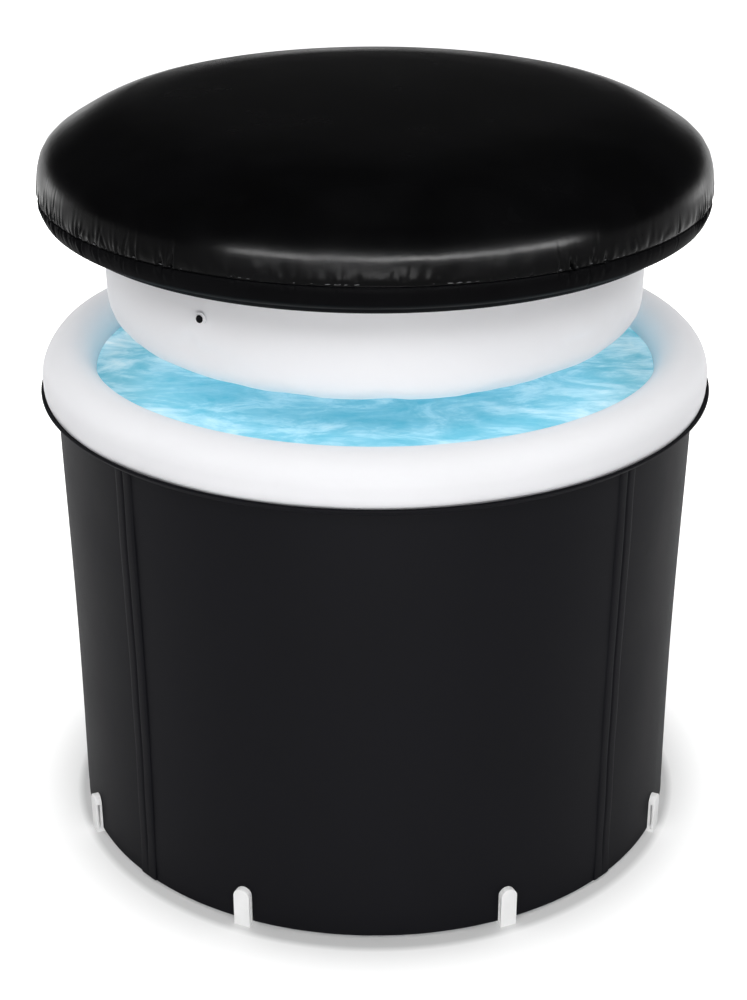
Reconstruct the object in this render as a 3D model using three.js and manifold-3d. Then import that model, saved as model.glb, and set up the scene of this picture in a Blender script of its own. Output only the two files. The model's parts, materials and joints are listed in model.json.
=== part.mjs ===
// Portable cold plunge tub: a padded round wall on rods and clip feet, an air ring round
// its mouth, and an air cushion with a padded lid held above it.
// Millimetres, +Z up, origin on the floor at the middle of the tub, front along -Y.
import * as THREE from 'three';
import { mergeVertices } from 'three/addons/utils/BufferGeometryUtils.js';
import Module from 'manifold-3d';

const wasm = await Module();
wasm.setup();

// Fits and facets
const GAP = 0.3;
const FACETS_PER_BAY = 6;
const SMALL_FACETS = 16;

// Wall, from the outside in
const WALL_RADIUS = 450;
const TUB_HEIGHT = 730;
const SHELL_THICKNESS = 2;
const LINER_THICKNESS = 1.5;
const SEAM_WIDTH = 24;
const SEAM_THICKNESS = 1.2;
const SEAM_SHIFT = 1.3;

// Floor, from the ground up
const BASE_THICKNESS = 2;
const FLOOR_FOAM_THICKNESS = 8;

// Rods and the clip feet under them
const SUPPORT_COUNT = 8;
const SUPPORT_SHIFT = 1.3;
const ROD_DIAMETER = 18;
const ROD_WALL = 1.7;
const ROD_PADDING = 0.6;
const FOOT_WIDTH = 24;
const FOOT_HEIGHT = 60;
const FOOT_RIB = 3;
const FOOT_SLOT_WIDTH = 3;
const FOOT_SLOT_BOTTOM = 5.5;
const FOOT_SLOT_HEIGHT = 42;
const FOOT_TAB = 3.5;
const FOOT_PLATE = 5;
const PEG_HEIGHT = 40;
const PEG_CHAMFER = 2;

// Air ring and the collar that holds it to the wall
const RING_WIDTH = 74.5;
const RING_HEIGHT = 79;
const RING_OVERHANG = 22.5;
const RING_STEPS = 18;
const COLLAR_THICKNESS = 2;
const COLLAR_EDGE_DROP = 31.8;
const COLLAR_STEPS = 4;
const FLANGE_WIDTH = 13;
const FLANGE_RISE = 5;
const PIPING_DIAMETER = 4;
const PIPING_STEPS = 8;

// Drain through the back of the wall
const DRAIN_HEIGHT = 70;
const DRAIN_FLANGE_DIAMETER = 44;
const DRAIN_FLANGE_THICKNESS = 3;
const DRAIN_PIPE_DIAMETER = 22;
const DRAIN_BORE = 16;
const DRAIN_NECK = 9;
const DRAIN_GASKET_THICKNESS = 2;
const DRAIN_NUT_WIDTH = 36;
const DRAIN_NUT_THICKNESS = 6;
const DRAIN_PIPE_STICKOUT = 2;
const DRAIN_CAP_WALL = 4;
const DRAIN_CAP_FLOOR = 3;
const DRAIN_CAP_FLUTES = 12;
const DRAIN_FLUTE_DEPTH = 1.5;

// Plug valves of the ring and of the cushion
const RING_VALVE = { flange: 22, neck: 14, bore: 8, head: 16, length: 12, recess: 3.2 };
const CUSHION_VALVE = { flange: 16, neck: 10, bore: 5, head: 9, length: 10, recess: 0 };
const VALVE_FLANGE_THICKNESS = 2.4;
const VALVE_HEAD_THICKNESS = 2.5;
const VALVE_PLUG_SHORT = 2;
const CUSHION_VALVE_ANGLE = -35;
const CUSHION_VALVE_DROP = 44;

// Air cushion, hanging under the lid
const CUSHION_RADIUS = 381;
const CUSHION_SKIN = 1.2;
const CUSHION_HEIGHT = 154;
const CUSHION_BELLY = 5;
const CUSHION_LOWER_WIDTH = 110;
const CUSHION_LOWER_HEIGHT = 60;
const CUSHION_UPPER_WIDTH = 20;
const CUSHION_UPPER_HEIGHT = 70;

// Padded lid
const LID_RADIUS = 456.5;
const LID_SEAM = 946.4;
const LID_DOME_HEIGHT = 114;
const LID_BAND_HEIGHT = 47;
const LID_CROWN = 3;
const LID_ROUND = 143;
const LID_BAND_TUCK = 29;
const LID_HEM_ROUND = 10;
const LID_BAND_TURN = 1.25;
const COVER_THICKNESS = 2;
const WELT_DIAMETER = 3.6;
const WELT_STEPS = 6;
const ARC_STEPS = 6;
const HIDDEN_ARC_STEPS = 4;

// Sizes that follow from those above
const SEGMENTS = SUPPORT_COUNT * FACETS_PER_BAY;
const FULL_TURN = Math.PI * 2;
const BAY = FULL_TURN / SUPPORT_COUNT;
const shellInner = WALL_RADIUS - SHELL_THICKNESS;
const foamOuter = shellInner - GAP;
const foamThickness = ROD_DIAMETER + 2 * ROD_PADDING;
const foamInner = foamOuter - foamThickness;
const linerOuter = foamInner - GAP;
const linerInner = linerOuter - LINER_THICKNESS;
const rodCircle = foamOuter - foamThickness / 2;
const wallBottom = FOOT_PLATE + GAP;
const floorFoamBottom = wallBottom + BASE_THICKNESS + GAP;
const linerBottom = floorFoamBottom + FLOOR_FOAM_THICKNESS + GAP;
const ringHalfWidth = RING_WIDTH / 2;
const ringHalfHeight = RING_HEIGHT / 2;
const ringOuter = WALL_RADIUS + RING_OVERHANG;
const ringCircle = ringOuter - ringHalfWidth;
const ringLevel = TUB_HEIGHT - ringHalfHeight;
const wallTop = TUB_HEIGHT - RING_HEIGHT - GAP;
const collarStart = Math.acos((shellInner - ringCircle) / (ringHalfWidth + GAP));
const collarEnd = Math.asin(COLLAR_EDGE_DROP / (ringHalfHeight + GAP));
const collarOuterHeight = ringHalfHeight + GAP + COLLAR_THICKNESS;
const shellTop = ringLevel - collarOuterHeight * Math.sin(collarStart) - GAP;
const footFace = WALL_RADIUS + GAP;
const footDepth = FOOT_RIB + FOOT_SLOT_WIDTH + FOOT_TAB;
const rodRadius = ROD_DIAMETER / 2;
const rodBore = rodRadius - ROD_WALL;
const smallFlat = Math.cos(Math.PI / SMALL_FACETS);
const pegRadius = rodBore - GAP / smallFlat;
const drainAngle = 2 * Math.floor(SUPPORT_COUNT / 4) * BAY;
const pipeRadius = DRAIN_PIPE_DIAMETER / 2;
const pipeHole = pipeRadius + GAP / smallFlat;
const lidBottom = LID_SEAM - LID_BAND_HEIGHT;
const lidShoulder = LID_SEAM + LID_DOME_HEIGHT;
const cushionTop = lidBottom - GAP;
const cushionBottom = cushionTop - CUSHION_HEIGHT;
const cushionValveHeight = cushionTop - CUSHION_VALVE_DROP;
const weltRadius = WELT_DIAMETER / 2;

// Materials
function finish(color, roughness, metalness = 0) {
  return () => new THREE.MeshStandardMaterial({ color, roughness, metalness });
}
const blackCloth = finish(0x25252a, 0.85);
const blackLeather = finish(0x0b0b0d, 0.32);
const whiteVinyl = finish(0xeeeef2, 0.4);
const whitePlastic = finish(0xf2f2f0, 0.45);
const paleFoam = finish(0xd9dade, 0.95);
const greyPlastic = finish(0xb9bcc0, 0.5);
const blackPlastic = finish(0x17181a, 0.5);
const blackRubber = finish(0x101010, 0.8);

const tub = new THREE.Group();

function place(name, geometry, material, parent = tub) {
  const mesh = new THREE.Mesh(geometry, material());
  mesh.name = name;
  parent.add(mesh);
  return mesh;
}

// A group turned about the tub's axis, so that a piece drawn at the front stands at the angle.
function turnedGroup(angle, height = 0) {
  const group = new THREE.Group();
  group.rotation.z = angle;
  group.position.z = height;
  tub.add(group);
  return group;
}

// Merges shared corners and drops faces that have no area.
function weld(geometry) {
  geometry.deleteAttribute('normal');
  geometry.deleteAttribute('uv');
  const merged = mergeVertices(geometry, 1e-4);
  const kept = [];
  const index = merged.index.array;
  for (let i = 0; i < index.length; i += 3) {
    const [a, b, c] = [index[i], index[i + 1], index[i + 2]];
    if (a !== b && b !== c && c !== a) kept.push(a, b, c);
  }
  merged.setIndex(kept);
  merged.computeVertexNormals();
  return merged;
}

// Solid of revolution about Y from [radius, level] pairs, closed on itself or on the axis.
function revolve(points, segments) {
  const profile = points.map(([radius, level]) => new THREE.Vector2(radius, level));
  if (THREE.ShapeUtils.area(profile) < 0) profile.reverse();
  const onAxis = profile[0].x === 0 && profile[profile.length - 1].x === 0;
  if (!onAxis) profile.push(profile[0].clone());
  return weld(new THREE.LatheGeometry(profile, segments));
}

// The same about Z, the axis of the tub, with angle 0 at the front.
function turn(points, segments = SEGMENTS) {
  return revolve(points, segments).rotateX(Math.PI / 2);
}

// Points on an ellipse about [radius, level], from one angle to another.
function arc(centre, width, height, from, to, steps) {
  return Array.from({ length: steps + 1 }, (_, i) => {
    const angle = from + ((to - from) * i) / steps;
    return [centre[0] + width * Math.cos(angle), centre[1] + height * Math.sin(angle)];
  });
}

function oval(centre, width, height, steps) {
  return arc(centre, width, height, 0, FULL_TURN, steps).slice(0, -1);
}

// Distance from the axis to a turned piece's flat facet at an angle.
function facetRadius(radius, angle) {
  const facet = FULL_TURN / SEGMENTS;
  const within = angle - Math.floor(angle / facet) * facet;
  return (radius * Math.cos(facet / 2)) / Math.cos(within - facet / 2);
}

// How far a turned piece reaches along an angle, so that a flat plate clears its facets.
function reachAt(radius, angle) {
  const facet = FULL_TURN / SEGMENTS;
  return radius * Math.cos(angle - Math.round(angle / facet) * facet);
}

// Part of a round wall between two radii and two angles, its facets in line with the lathes.
function sector(inner, outer, from, to, bottom, top) {
  const facet = FULL_TURN / SEGMENTS;
  const angles = [from];
  for (let k = Math.floor(from / facet) + 1; k * facet < to; k += 1) {
    if (k * facet > from) angles.push(k * facet);
  }
  angles.push(to);
  const at = (radius, angle) => {
    const reach = facetRadius(radius, angle);
    return new THREE.Vector2(reach * Math.sin(angle), -reach * Math.cos(angle));
  };
  const outside = angles.map((angle) => at(outer, angle));
  const inside = angles.map((angle) => at(inner, angle)).reverse();
  const outline = new THREE.Shape([...outside, ...inside]);
  return upright(outline, bottom, top);
}

// A flat outline in plan, raised from one level to another.
function upright(outline, bottom, top) {
  const options = { depth: top - bottom, bevelEnabled: false };
  return weld(new THREE.ExtrudeGeometry(outline, options).translate(0, 0, bottom));
}

function toSolid(geometry) {
  const welded = weld(geometry.clone());
  const vertProperties = new Float32Array(welded.attributes.position.array);
  const triVerts = new Uint32Array(welded.index.array);
  return new wasm.Manifold(new wasm.Mesh({ numProp: 3, vertProperties, triVerts }));
}

function toGeometry(solid) {
  const { vertProperties, triVerts } = solid.getMesh();
  const geometry = new THREE.BufferGeometry();
  geometry.setAttribute('position', new THREE.BufferAttribute(vertProperties, 3));
  geometry.setIndex(new THREE.BufferAttribute(triVerts, 1));
  geometry.computeVertexNormals();
  return geometry;
}

function cut(geometry, ...tools) {
  return toGeometry(tools.reduce((left, tool) => left.subtract(toSolid(tool)), toSolid(geometry)));
}

function join(geometry, ...more) {
  return toGeometry(more.reduce((sum, piece) => sum.add(toSolid(piece)), toSolid(geometry)));
}

// A round bar along Y, from a near distance to a far one in front of the axis.
function barOut(radius, near, far, segments = SMALL_FACETS) {
  return revolve([[0, -near], [radius, -near], [radius, -far], [0, -far]], segments);
}

// Angles at a bay each, moved by a few degrees to one side and to the other by turns.
function byTurns(first, step, count, shift) {
  const move = THREE.MathUtils.degToRad(shift);
  return Array.from({ length: count }, (_, k) => (first + k * step) * BAY + (k % 2 ? -move : move));
}

// The angle that follows the k-th one round the tub.
function following(angles, k) {
  return k + 1 < angles.length ? angles[k + 1] : angles[0] + FULL_TURN;
}

const supportAngles = byTurns(0.5, 1, SUPPORT_COUNT, SUPPORT_SHIFT);
const seamAngles = byTurns(1, 2, Math.floor(SUPPORT_COUNT / 2), SEAM_SHIFT);

// Hole for the drain pipe, through every layer of the wall.
const drainHole = barOut(pipeHole, linerInner - DRAIN_FLANGE_DIAMETER, WALL_RADIUS + FOOT_HEIGHT)
  .rotateZ(drainAngle)
  .translate(0, 0, DRAIN_HEIGHT);

// Outer shell: panels of two bays each, with a strip over every seam
function makeShell() {
  const halfGap = GAP / 2 / WALL_RADIUS;
  const halfStrip = SEAM_WIDTH / 2 / WALL_RADIUS;
  const stripInner = WALL_RADIUS + GAP;
  seamAngles.forEach((from, i) => {
    const to = following(seamAngles, i);
    let panel = sector(shellInner, WALL_RADIUS, from + halfGap, to - halfGap, wallBottom, shellTop);
    if (drainAngle > from && drainAngle < to) panel = cut(panel, drainHole);
    place(`shell_panel_${i + 1}`, panel, blackCloth);
    const strip = sector(
      stripInner, stripInner + SEAM_THICKNESS, from - halfStrip, from + halfStrip, wallBottom, shellTop,
    );
    place(`seam_strip_${i + 1}`, strip, blackCloth);
  });
}

// Foam panels, one to a bay, with a pocket for a rod between each two
function makeFoam() {
  const halfPocket = Math.asin((rodRadius + GAP) / foamInner);
  supportAngles.forEach((angle, k) => {
    const from = angle + halfPocket;
    const to = following(supportAngles, k) - halfPocket;
    let panel = sector(foamInner, foamOuter, from, to, wallBottom, wallTop);
    if (drainAngle > from && drainAngle < to) panel = cut(panel, drainHole);
    place(`foam_panel_${k + 1}`, panel, paleFoam);
  });
}

// Hollow rods, each standing on its foot and slipped over the foot's peg
function makeRods() {
  supportAngles.forEach((angle, k) => {
    const rod = turn([
      [rodBore, wallBottom], [rodRadius, wallBottom], [rodRadius, wallTop], [rodBore, wallTop],
    ], SMALL_FACETS);
    const mesh = place(`support_rod_${k + 1}`, rod, greyPlastic, turnedGroup(angle));
    mesh.position.y = -rodCircle;
  });
}

// Clip foot: a round-topped tab, a slotted rib by the wall, a plate under the wall and a peg
function footGeometry() {
  const half = FOOT_WIDTH / 2;
  const tab = new THREE.Shape();
  tab.moveTo(-half, 0);
  tab.lineTo(half, 0);
  tab.lineTo(half, FOOT_HEIGHT - half);
  tab.absarc(0, FOOT_HEIGHT - half, half, 0, Math.PI, false);
  tab.lineTo(-half, 0);
  const options = { depth: footDepth, bevelEnabled: false, curveSegments: ARC_STEPS };
  const block = weld(new THREE.ExtrudeGeometry(tab, options).rotateX(Math.PI / 2).translate(0, -footFace, 0));

  const slotNear = footFace + FOOT_RIB;
  const slot = new THREE.BoxGeometry(FOOT_WIDTH * 2, FOOT_SLOT_WIDTH, FOOT_SLOT_HEIGHT);
  slot.translate(0, -slotNear - FOOT_SLOT_WIDTH / 2, FOOT_SLOT_BOTTOM + FOOT_SLOT_HEIGHT / 2);

  const sole = new THREE.Shape();
  sole.moveTo(-half, -footFace - footDepth);
  sole.lineTo(half, -footFace - footDepth);
  sole.lineTo(half, -rodCircle);
  sole.absarc(0, -rodCircle, half, 0, Math.PI, false);
  sole.lineTo(-half, -footFace - footDepth);
  const soleOptions = { depth: FOOT_PLATE, bevelEnabled: false, curveSegments: ARC_STEPS };
  const plate = weld(new THREE.ExtrudeGeometry(sole, soleOptions));

  const pegTop = FOOT_PLATE + PEG_HEIGHT;
  const peg = turn([
    [0, FOOT_PLATE / 2], [pegRadius, FOOT_PLATE / 2], [pegRadius, pegTop - PEG_CHAMFER],
    [pegRadius - PEG_CHAMFER, pegTop], [0, pegTop],
  ], SMALL_FACETS).translate(0, -rodCircle, 0);
  return join(cut(block, slot), plate, peg);
}

function makeFeet() {
  const foot = footGeometry();
  supportAngles.forEach((angle, k) => {
    place(`foot_${k + 1}`, foot.clone(), whitePlastic, turnedGroup(angle));
  });
}

// Base sheet, floor foam and the watertight liner, inside the ring of foam
function makeFloorAndLiner() {
  const disc = (bottom, thickness) => turn([
    [0, bottom], [linerOuter, bottom], [linerOuter, bottom + thickness], [0, bottom + thickness],
  ]);
  place('base_sheet', disc(wallBottom, BASE_THICKNESS), blackCloth);
  place('floor_foam', disc(floorFoamBottom, FLOOR_FOAM_THICKNESS), paleFoam);
  const bucket = turn([
    [0, linerBottom], [linerOuter, linerBottom], [linerOuter, wallTop], [linerInner, wallTop],
    [linerInner, linerBottom + LINER_THICKNESS], [0, linerBottom + LINER_THICKNESS],
  ]);
  place('inner_liner', cut(bucket, drainHole), whiteVinyl);
}

// Seat for a plug valve: a wide pocket as deep as its recess and a deep one for the neck
function valvePockets(valve, face) {
  const seat = face - valve.recess;
  const neckEnd = seat - valve.length - GAP;
  return [
    barOut(valve.flange / 2 + GAP / smallFlat, seat, face + RING_WIDTH),
    barOut(valve.neck / 2 + GAP / smallFlat, neckEnd, face),
  ];
}

function makeValve(prefix, valve, face, angle, height) {
  const group = turnedGroup(angle, height);
  const seat = face - valve.recess + GAP;
  const rim = seat + VALVE_FLANGE_THICKNESS;
  const bodyEnd = seat - valve.length;
  const body = revolve([
    [valve.bore / 2, -rim], [valve.flange / 2, -rim], [valve.flange / 2, -seat],
    [valve.neck / 2, -seat], [valve.neck / 2, -bodyEnd], [valve.bore / 2, -bodyEnd],
  ], SMALL_FACETS);
  place(`${prefix}_valve_body`, body, whitePlastic, group);
  const head = rim + GAP;
  const plugRadius = valve.bore / 2 - GAP / smallFlat;
  const plugEnd = bodyEnd + VALVE_PLUG_SHORT;
  const stopper = revolve([
    [0, -head - VALVE_HEAD_THICKNESS], [valve.head / 2, -head - VALVE_HEAD_THICKNESS],
    [valve.head / 2, -head], [plugRadius, -head], [plugRadius, -plugEnd], [0, -plugEnd],
  ], SMALL_FACETS);
  place(`${prefix}_valve_stopper`, stopper, blackPlastic, group);
}

// Air ring on top of the wall, the collar that cups it and flares out, and the piping on its edge
function makeRing() {
  const centre = [ringCircle, ringLevel];
  const ringFace = reachAt(ringOuter, drainAngle);
  const pockets = valvePockets(RING_VALVE, ringFace)
    .map((pocket) => pocket.rotateZ(drainAngle).translate(0, 0, ringLevel));
  const ring = turn(oval(centre, ringHalfWidth, ringHalfHeight, RING_STEPS));
  place('top_ring', cut(ring, ...pockets), whiteVinyl);
  makeValve('ring', RING_VALVE, ringFace, drainAngle, ringLevel);

  const offset = (distance, from, to, steps) => (
    arc(centre, ringHalfWidth + distance, ringHalfHeight + distance, from, to, steps)
  );
  const collarInside = offset(GAP, -collarEnd, -collarStart, COLLAR_STEPS);
  const collarOutside = offset(GAP + COLLAR_THICKNESS, -collarStart, -collarEnd, COLLAR_STEPS);
  const toFlangeEnd = ([radius, level]) => [radius + FLANGE_WIDTH, level + FLANGE_RISE];
  const flangeBelow = toFlangeEnd(collarOutside[COLLAR_STEPS]);
  const flangeAbove = toFlangeEnd(collarInside[0]);
  place('rim_collar', turn([...collarOutside, flangeBelow, flangeAbove, ...collarInside]), blackCloth);

  const pipingRadius = PIPING_DIAMETER / 2;
  const clear = new THREE.Vector2(FLANGE_WIDTH, FLANGE_RISE).setLength(pipingRadius + 1.5 * GAP);
  const pipingCentre = [
    (flangeBelow[0] + flangeAbove[0]) / 2 + clear.x,
    (flangeBelow[1] + flangeAbove[1]) / 2 + clear.y,
  ];
  place('rim_piping', turn(oval(pipingCentre, pipingRadius, pipingRadius, PIPING_STEPS)), blackCloth);
}

// Fluted drain cap: a cup over the pipe's neck with grooves round its edge
function drainCapGeometry(seat, neckEnd) {
  const inner = pipeHole;
  const outer = pipeRadius + DRAIN_CAP_WALL + DRAIN_FLUTE_DEPTH;
  const face = neckEnd + GAP + DRAIN_CAP_FLOOR;
  const facets = DRAIN_CAP_FLUTES * 2;
  const cup = revolve([
    [inner, -seat], [outer, -seat], [outer, -face], [0, -face],
    [0, -neckEnd - GAP], [inner, -neckEnd - GAP],
  ].reverse(), facets);
  const flutes = Array.from({ length: DRAIN_CAP_FLUTES }, (_, k) => {
    const groove = barOut(DRAIN_FLUTE_DEPTH, seat - GAP, face + GAP, PIPING_STEPS);
    return groove.translate(outer, 0, 0).rotateY((k * FULL_TURN) / DRAIN_CAP_FLUTES);
  });
  return cut(cup, ...flutes);
}

// Drain: pipe with a flange outside, gasket, hexagon nut inside the liner and a screw cap
function makeDrain() {
  const group = turnedGroup(drainAngle, DRAIN_HEIGHT);
  const wallFace = reachAt(WALL_RADIUS, drainAngle) + GAP;
  const flangeFace = wallFace + DRAIN_GASKET_THICKNESS + GAP;
  const flangeEnd = flangeFace + DRAIN_FLANGE_THICKNESS;
  const neckEnd = flangeEnd + DRAIN_NECK;
  const nutRadius = DRAIN_NUT_WIDTH / Math.sqrt(3);
  const nutFace = linerInner - nutRadius * Math.tan(Math.PI / SEGMENTS) - GAP;
  const nutEnd = nutFace - DRAIN_NUT_THICKNESS;
  const pipeEnd = nutEnd - DRAIN_PIPE_STICKOUT;
  const flangeRadius = DRAIN_FLANGE_DIAMETER / 2;
  const bore = DRAIN_BORE / 2;

  const body = revolve([
    [bore, -neckEnd], [pipeRadius, -neckEnd], [pipeRadius, -flangeEnd], [flangeRadius, -flangeEnd],
    [flangeRadius, -flangeFace], [pipeRadius, -flangeFace], [pipeRadius, -pipeEnd], [bore, -pipeEnd],
  ], SMALL_FACETS);
  place('drain_body', body, blackPlastic, group);

  const gasket = revolve([
    [pipeHole, -flangeFace + GAP], [flangeRadius, -flangeFace + GAP],
    [flangeRadius, -wallFace], [pipeHole, -wallFace],
  ], SMALL_FACETS);
  place('drain_gasket', gasket, blackRubber, group);

  const hexagon = revolve([[0, -nutFace], [nutRadius, -nutFace], [nutRadius, -nutEnd], [0, -nutEnd]], 6);
  place('drain_nut', cut(hexagon, barOut(pipeHole, nutEnd - GAP, nutFace + GAP)), blackPlastic, group);
  place('drain_cap', drainCapGeometry(flangeEnd + GAP, neckEnd), blackPlastic, group);
}

// Air cushion: a hollow skin, full and round below, its side drawn in a little toward the lid
function cushionProfile(inset) {
  const lowerEdge = cushionBottom + CUSHION_BELLY + CUSHION_LOWER_HEIGHT;
  const lowerCentre = [CUSHION_RADIUS - CUSHION_LOWER_WIDTH, lowerEdge];
  const upperCentre = [CUSHION_RADIUS - CUSHION_UPPER_WIDTH, cushionTop - CUSHION_UPPER_HEIGHT];
  const [lowerWidth, lowerHeight] = [CUSHION_LOWER_WIDTH - inset, CUSHION_LOWER_HEIGHT - inset];
  const [upperWidth, upperHeight] = [CUSHION_UPPER_WIDTH - inset, CUSHION_UPPER_HEIGHT - inset];
  return [
    [0, cushionBottom + inset],
    ...arc(lowerCentre, lowerWidth, lowerHeight, -Math.PI / 2, 0, ARC_STEPS),
    ...arc(upperCentre, upperWidth, upperHeight, 0, Math.PI / 2, ARC_STEPS),
    [0, cushionTop - inset],
  ];
}

function makeCushion() {
  const skin = turn(cushionProfile(0));
  const air = turn(cushionProfile(CUSHION_SKIN));
  const angle = THREE.MathUtils.degToRad(CUSHION_VALVE_ANGLE);
  const face = reachAt(CUSHION_RADIUS, angle);
  const [, neckHole] = valvePockets(CUSHION_VALVE, face);
  const hole = neckHole.rotateZ(angle).translate(0, 0, cushionValveHeight);
  place('air_cushion', cut(skin, air, hole), whiteVinyl);
  makeValve('cushion', CUSHION_VALVE, face, angle, cushionValveHeight);
}

// Padded lid: foam core in a sewn cover of a domed top, a tucked side band and a flat underside
function makeLid() {
  const quarter = Math.PI / 2;
  const half = weltRadius + GAP;
  const hemRadius = LID_RADIUS - LID_BAND_TUCK;
  const dome = (inset, steps = ARC_STEPS) => arc(
    [LID_RADIUS - LID_ROUND, LID_SEAM], LID_ROUND - inset, LID_DOME_HEIGHT - inset,
    Math.asin(half / (LID_DOME_HEIGHT - inset)), quarter, steps,
  );
  const crown = (inset) => [0, lidShoulder + LID_CROWN - inset];
  const bandHeight = LID_BAND_HEIGHT - LID_HEM_ROUND;
  const band = (inset, steps = ARC_STEPS) => arc(
    [hemRadius, LID_SEAM], LID_BAND_TUCK - inset, bandHeight,
    -Math.asin(half / bandHeight), -LID_BAND_TURN, steps,
  );
  const hemInset = COVER_THICKNESS;
  const outsideBand = band(0);
  const insideBand = band(hemInset);
  const bandFoot = outsideBand[outsideBand.length - 1];
  const panelRadius = hemRadius - LID_HEM_ROUND;
  const hemCurve = new THREE.QuadraticBezierCurve(
    new THREE.Vector2(...bandFoot),
    new THREE.Vector2(hemRadius, lidBottom),
    new THREE.Vector2(panelRadius, lidBottom),
  );
  const hem = hemCurve.getPoints(ARC_STEPS / 2).slice(1).map((point) => [point.x, point.y]);
  const hemTop = lidBottom + COVER_THICKNESS;

  place('lid_top_cover', turn([
    ...dome(0), crown(0), crown(COVER_THICKNESS), ...dome(COVER_THICKNESS).reverse(),
  ]), blackLeather);
  place('lid_side_band', turn([
    ...outsideBand, ...hem, [panelRadius, hemTop], ...insideBand.reverse(),
  ]), blackLeather);
  place('lid_bottom_panel', turn([
    [0, lidBottom], [panelRadius - GAP, lidBottom], [panelRadius - GAP, hemTop], [0, hemTop],
  ]), blackCloth);
  place('lid_seam_welt', turn(oval([LID_RADIUS - weltRadius, LID_SEAM], weltRadius, weltRadius, WELT_STEPS)),
    blackLeather);
  const coreInset = COVER_THICKNESS + GAP;
  const coreBand = band(coreInset + weltRadius, HIDDEN_ARC_STEPS);
  place('lid_core', turn([
    [0, hemTop + GAP], [panelRadius - GAP, hemTop + GAP], ...coreBand.reverse(),
    ...dome(coreInset + weltRadius, HIDDEN_ARC_STEPS), crown(coreInset),
  ]), paleFoam);
}

makeShell();
makeFoam();
makeRods();
makeFeet();
makeFloorAndLiner();
makeRing();
makeDrain();
makeCushion();
makeLid();

export default tub;
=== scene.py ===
import json
import math

import bmesh
import bpy
import numpy as np
from bpy.props import FloatProperty, FloatVectorProperty, IntProperty, PointerProperty
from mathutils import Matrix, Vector


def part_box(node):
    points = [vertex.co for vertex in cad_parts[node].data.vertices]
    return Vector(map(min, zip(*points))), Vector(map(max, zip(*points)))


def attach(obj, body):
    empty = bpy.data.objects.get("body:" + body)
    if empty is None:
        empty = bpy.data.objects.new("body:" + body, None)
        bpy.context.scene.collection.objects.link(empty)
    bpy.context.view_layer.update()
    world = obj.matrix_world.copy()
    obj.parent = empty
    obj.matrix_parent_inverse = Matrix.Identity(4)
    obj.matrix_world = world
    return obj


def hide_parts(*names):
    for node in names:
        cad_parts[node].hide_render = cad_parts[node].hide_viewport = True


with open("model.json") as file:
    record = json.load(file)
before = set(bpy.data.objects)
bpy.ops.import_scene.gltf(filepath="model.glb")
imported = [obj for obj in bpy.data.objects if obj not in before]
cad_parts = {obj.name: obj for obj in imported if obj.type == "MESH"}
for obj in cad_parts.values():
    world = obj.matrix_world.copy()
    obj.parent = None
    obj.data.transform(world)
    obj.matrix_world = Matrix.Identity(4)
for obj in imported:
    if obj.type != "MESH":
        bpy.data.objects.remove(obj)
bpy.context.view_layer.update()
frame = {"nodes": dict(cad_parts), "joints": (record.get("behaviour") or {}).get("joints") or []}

bl_info = {
    "name": "Cold plunge tub",
    "version": (1, 0, 0),
    "blender": (4, 5, 0),
    "location": "View3D > Sidebar > Tub",
    "description": "Dresses a portable cold plunge tub in cloth, vinyl, leather and plastic",
    "category": "Object",
}

MM = 0.001
FULL_TURN = 2 * math.pi
HUB = 30 * MM            # radius of the innermost row of points round the axis


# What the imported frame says

def nodes_named(start):
    """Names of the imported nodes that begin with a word, in order."""
    return sorted(name for name in frame["nodes"] if name.startswith(start))


def cad_points(*nodes):
    """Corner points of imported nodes."""
    return np.concatenate([
        np.array([v.co for v in frame["nodes"][node].data.vertices], float) for node in nodes
    ])


def reach(*nodes):
    """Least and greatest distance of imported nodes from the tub's axis."""
    points = cad_points(*nodes)
    radius = np.hypot(points[:, 0], points[:, 1])
    return float(radius.min()), float(radius.max())


def levels(node):
    """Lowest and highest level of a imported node."""
    low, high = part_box(node)
    return low.z, high.z


def bearing(node):
    """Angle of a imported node's middle about the axis, 0 at the front and positive to +X."""
    low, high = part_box(node)
    middle = (low + high) / 2
    return math.atan2(middle.x, -middle.y)


SHELL_PANELS = nodes_named("shell_panel_")
SEAM_STRIPS = nodes_named("seam_strip_")
FEET = nodes_named("foot_")
RODS = nodes_named("support_rod_")
FOAMS = nodes_named("foam_panel_")
RING_IN, RING_OUT = reach("top_ring")
RING_LOW, RING_HIGH = levels("top_ring")
WALL_LOW, WALL_HIGH = levels(SHELL_PANELS[0])
LID_LOW, LID_HIGH = levels("lid_bottom_panel")[0], levels("lid_top_cover")[1]
LID_SEAM = sum(levels("lid_seam_welt")) / 2
CUSHION_LOW, CUSHION_HIGH = levels("air_cushion")


# Settings that a user would change

def length(name, description, default):
    return FloatProperty(name=name, description=description, default=default, unit="LENGTH", precision=4)


def share(name, description, default):
    return FloatProperty(name=name, description=description, default=default, min=0.0)


def count(name, description, default):
    return IntProperty(name=name, description=description, default=default, min=1)


def power(name, description, default):
    return FloatProperty(name=name, description=description, default=default, unit="POWER")


def colour(name, description, default):
    return FloatVectorProperty(
        name=name, description=description, default=default, size=3, subtype="COLOR", min=0.0, max=1.0,
    )


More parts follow.
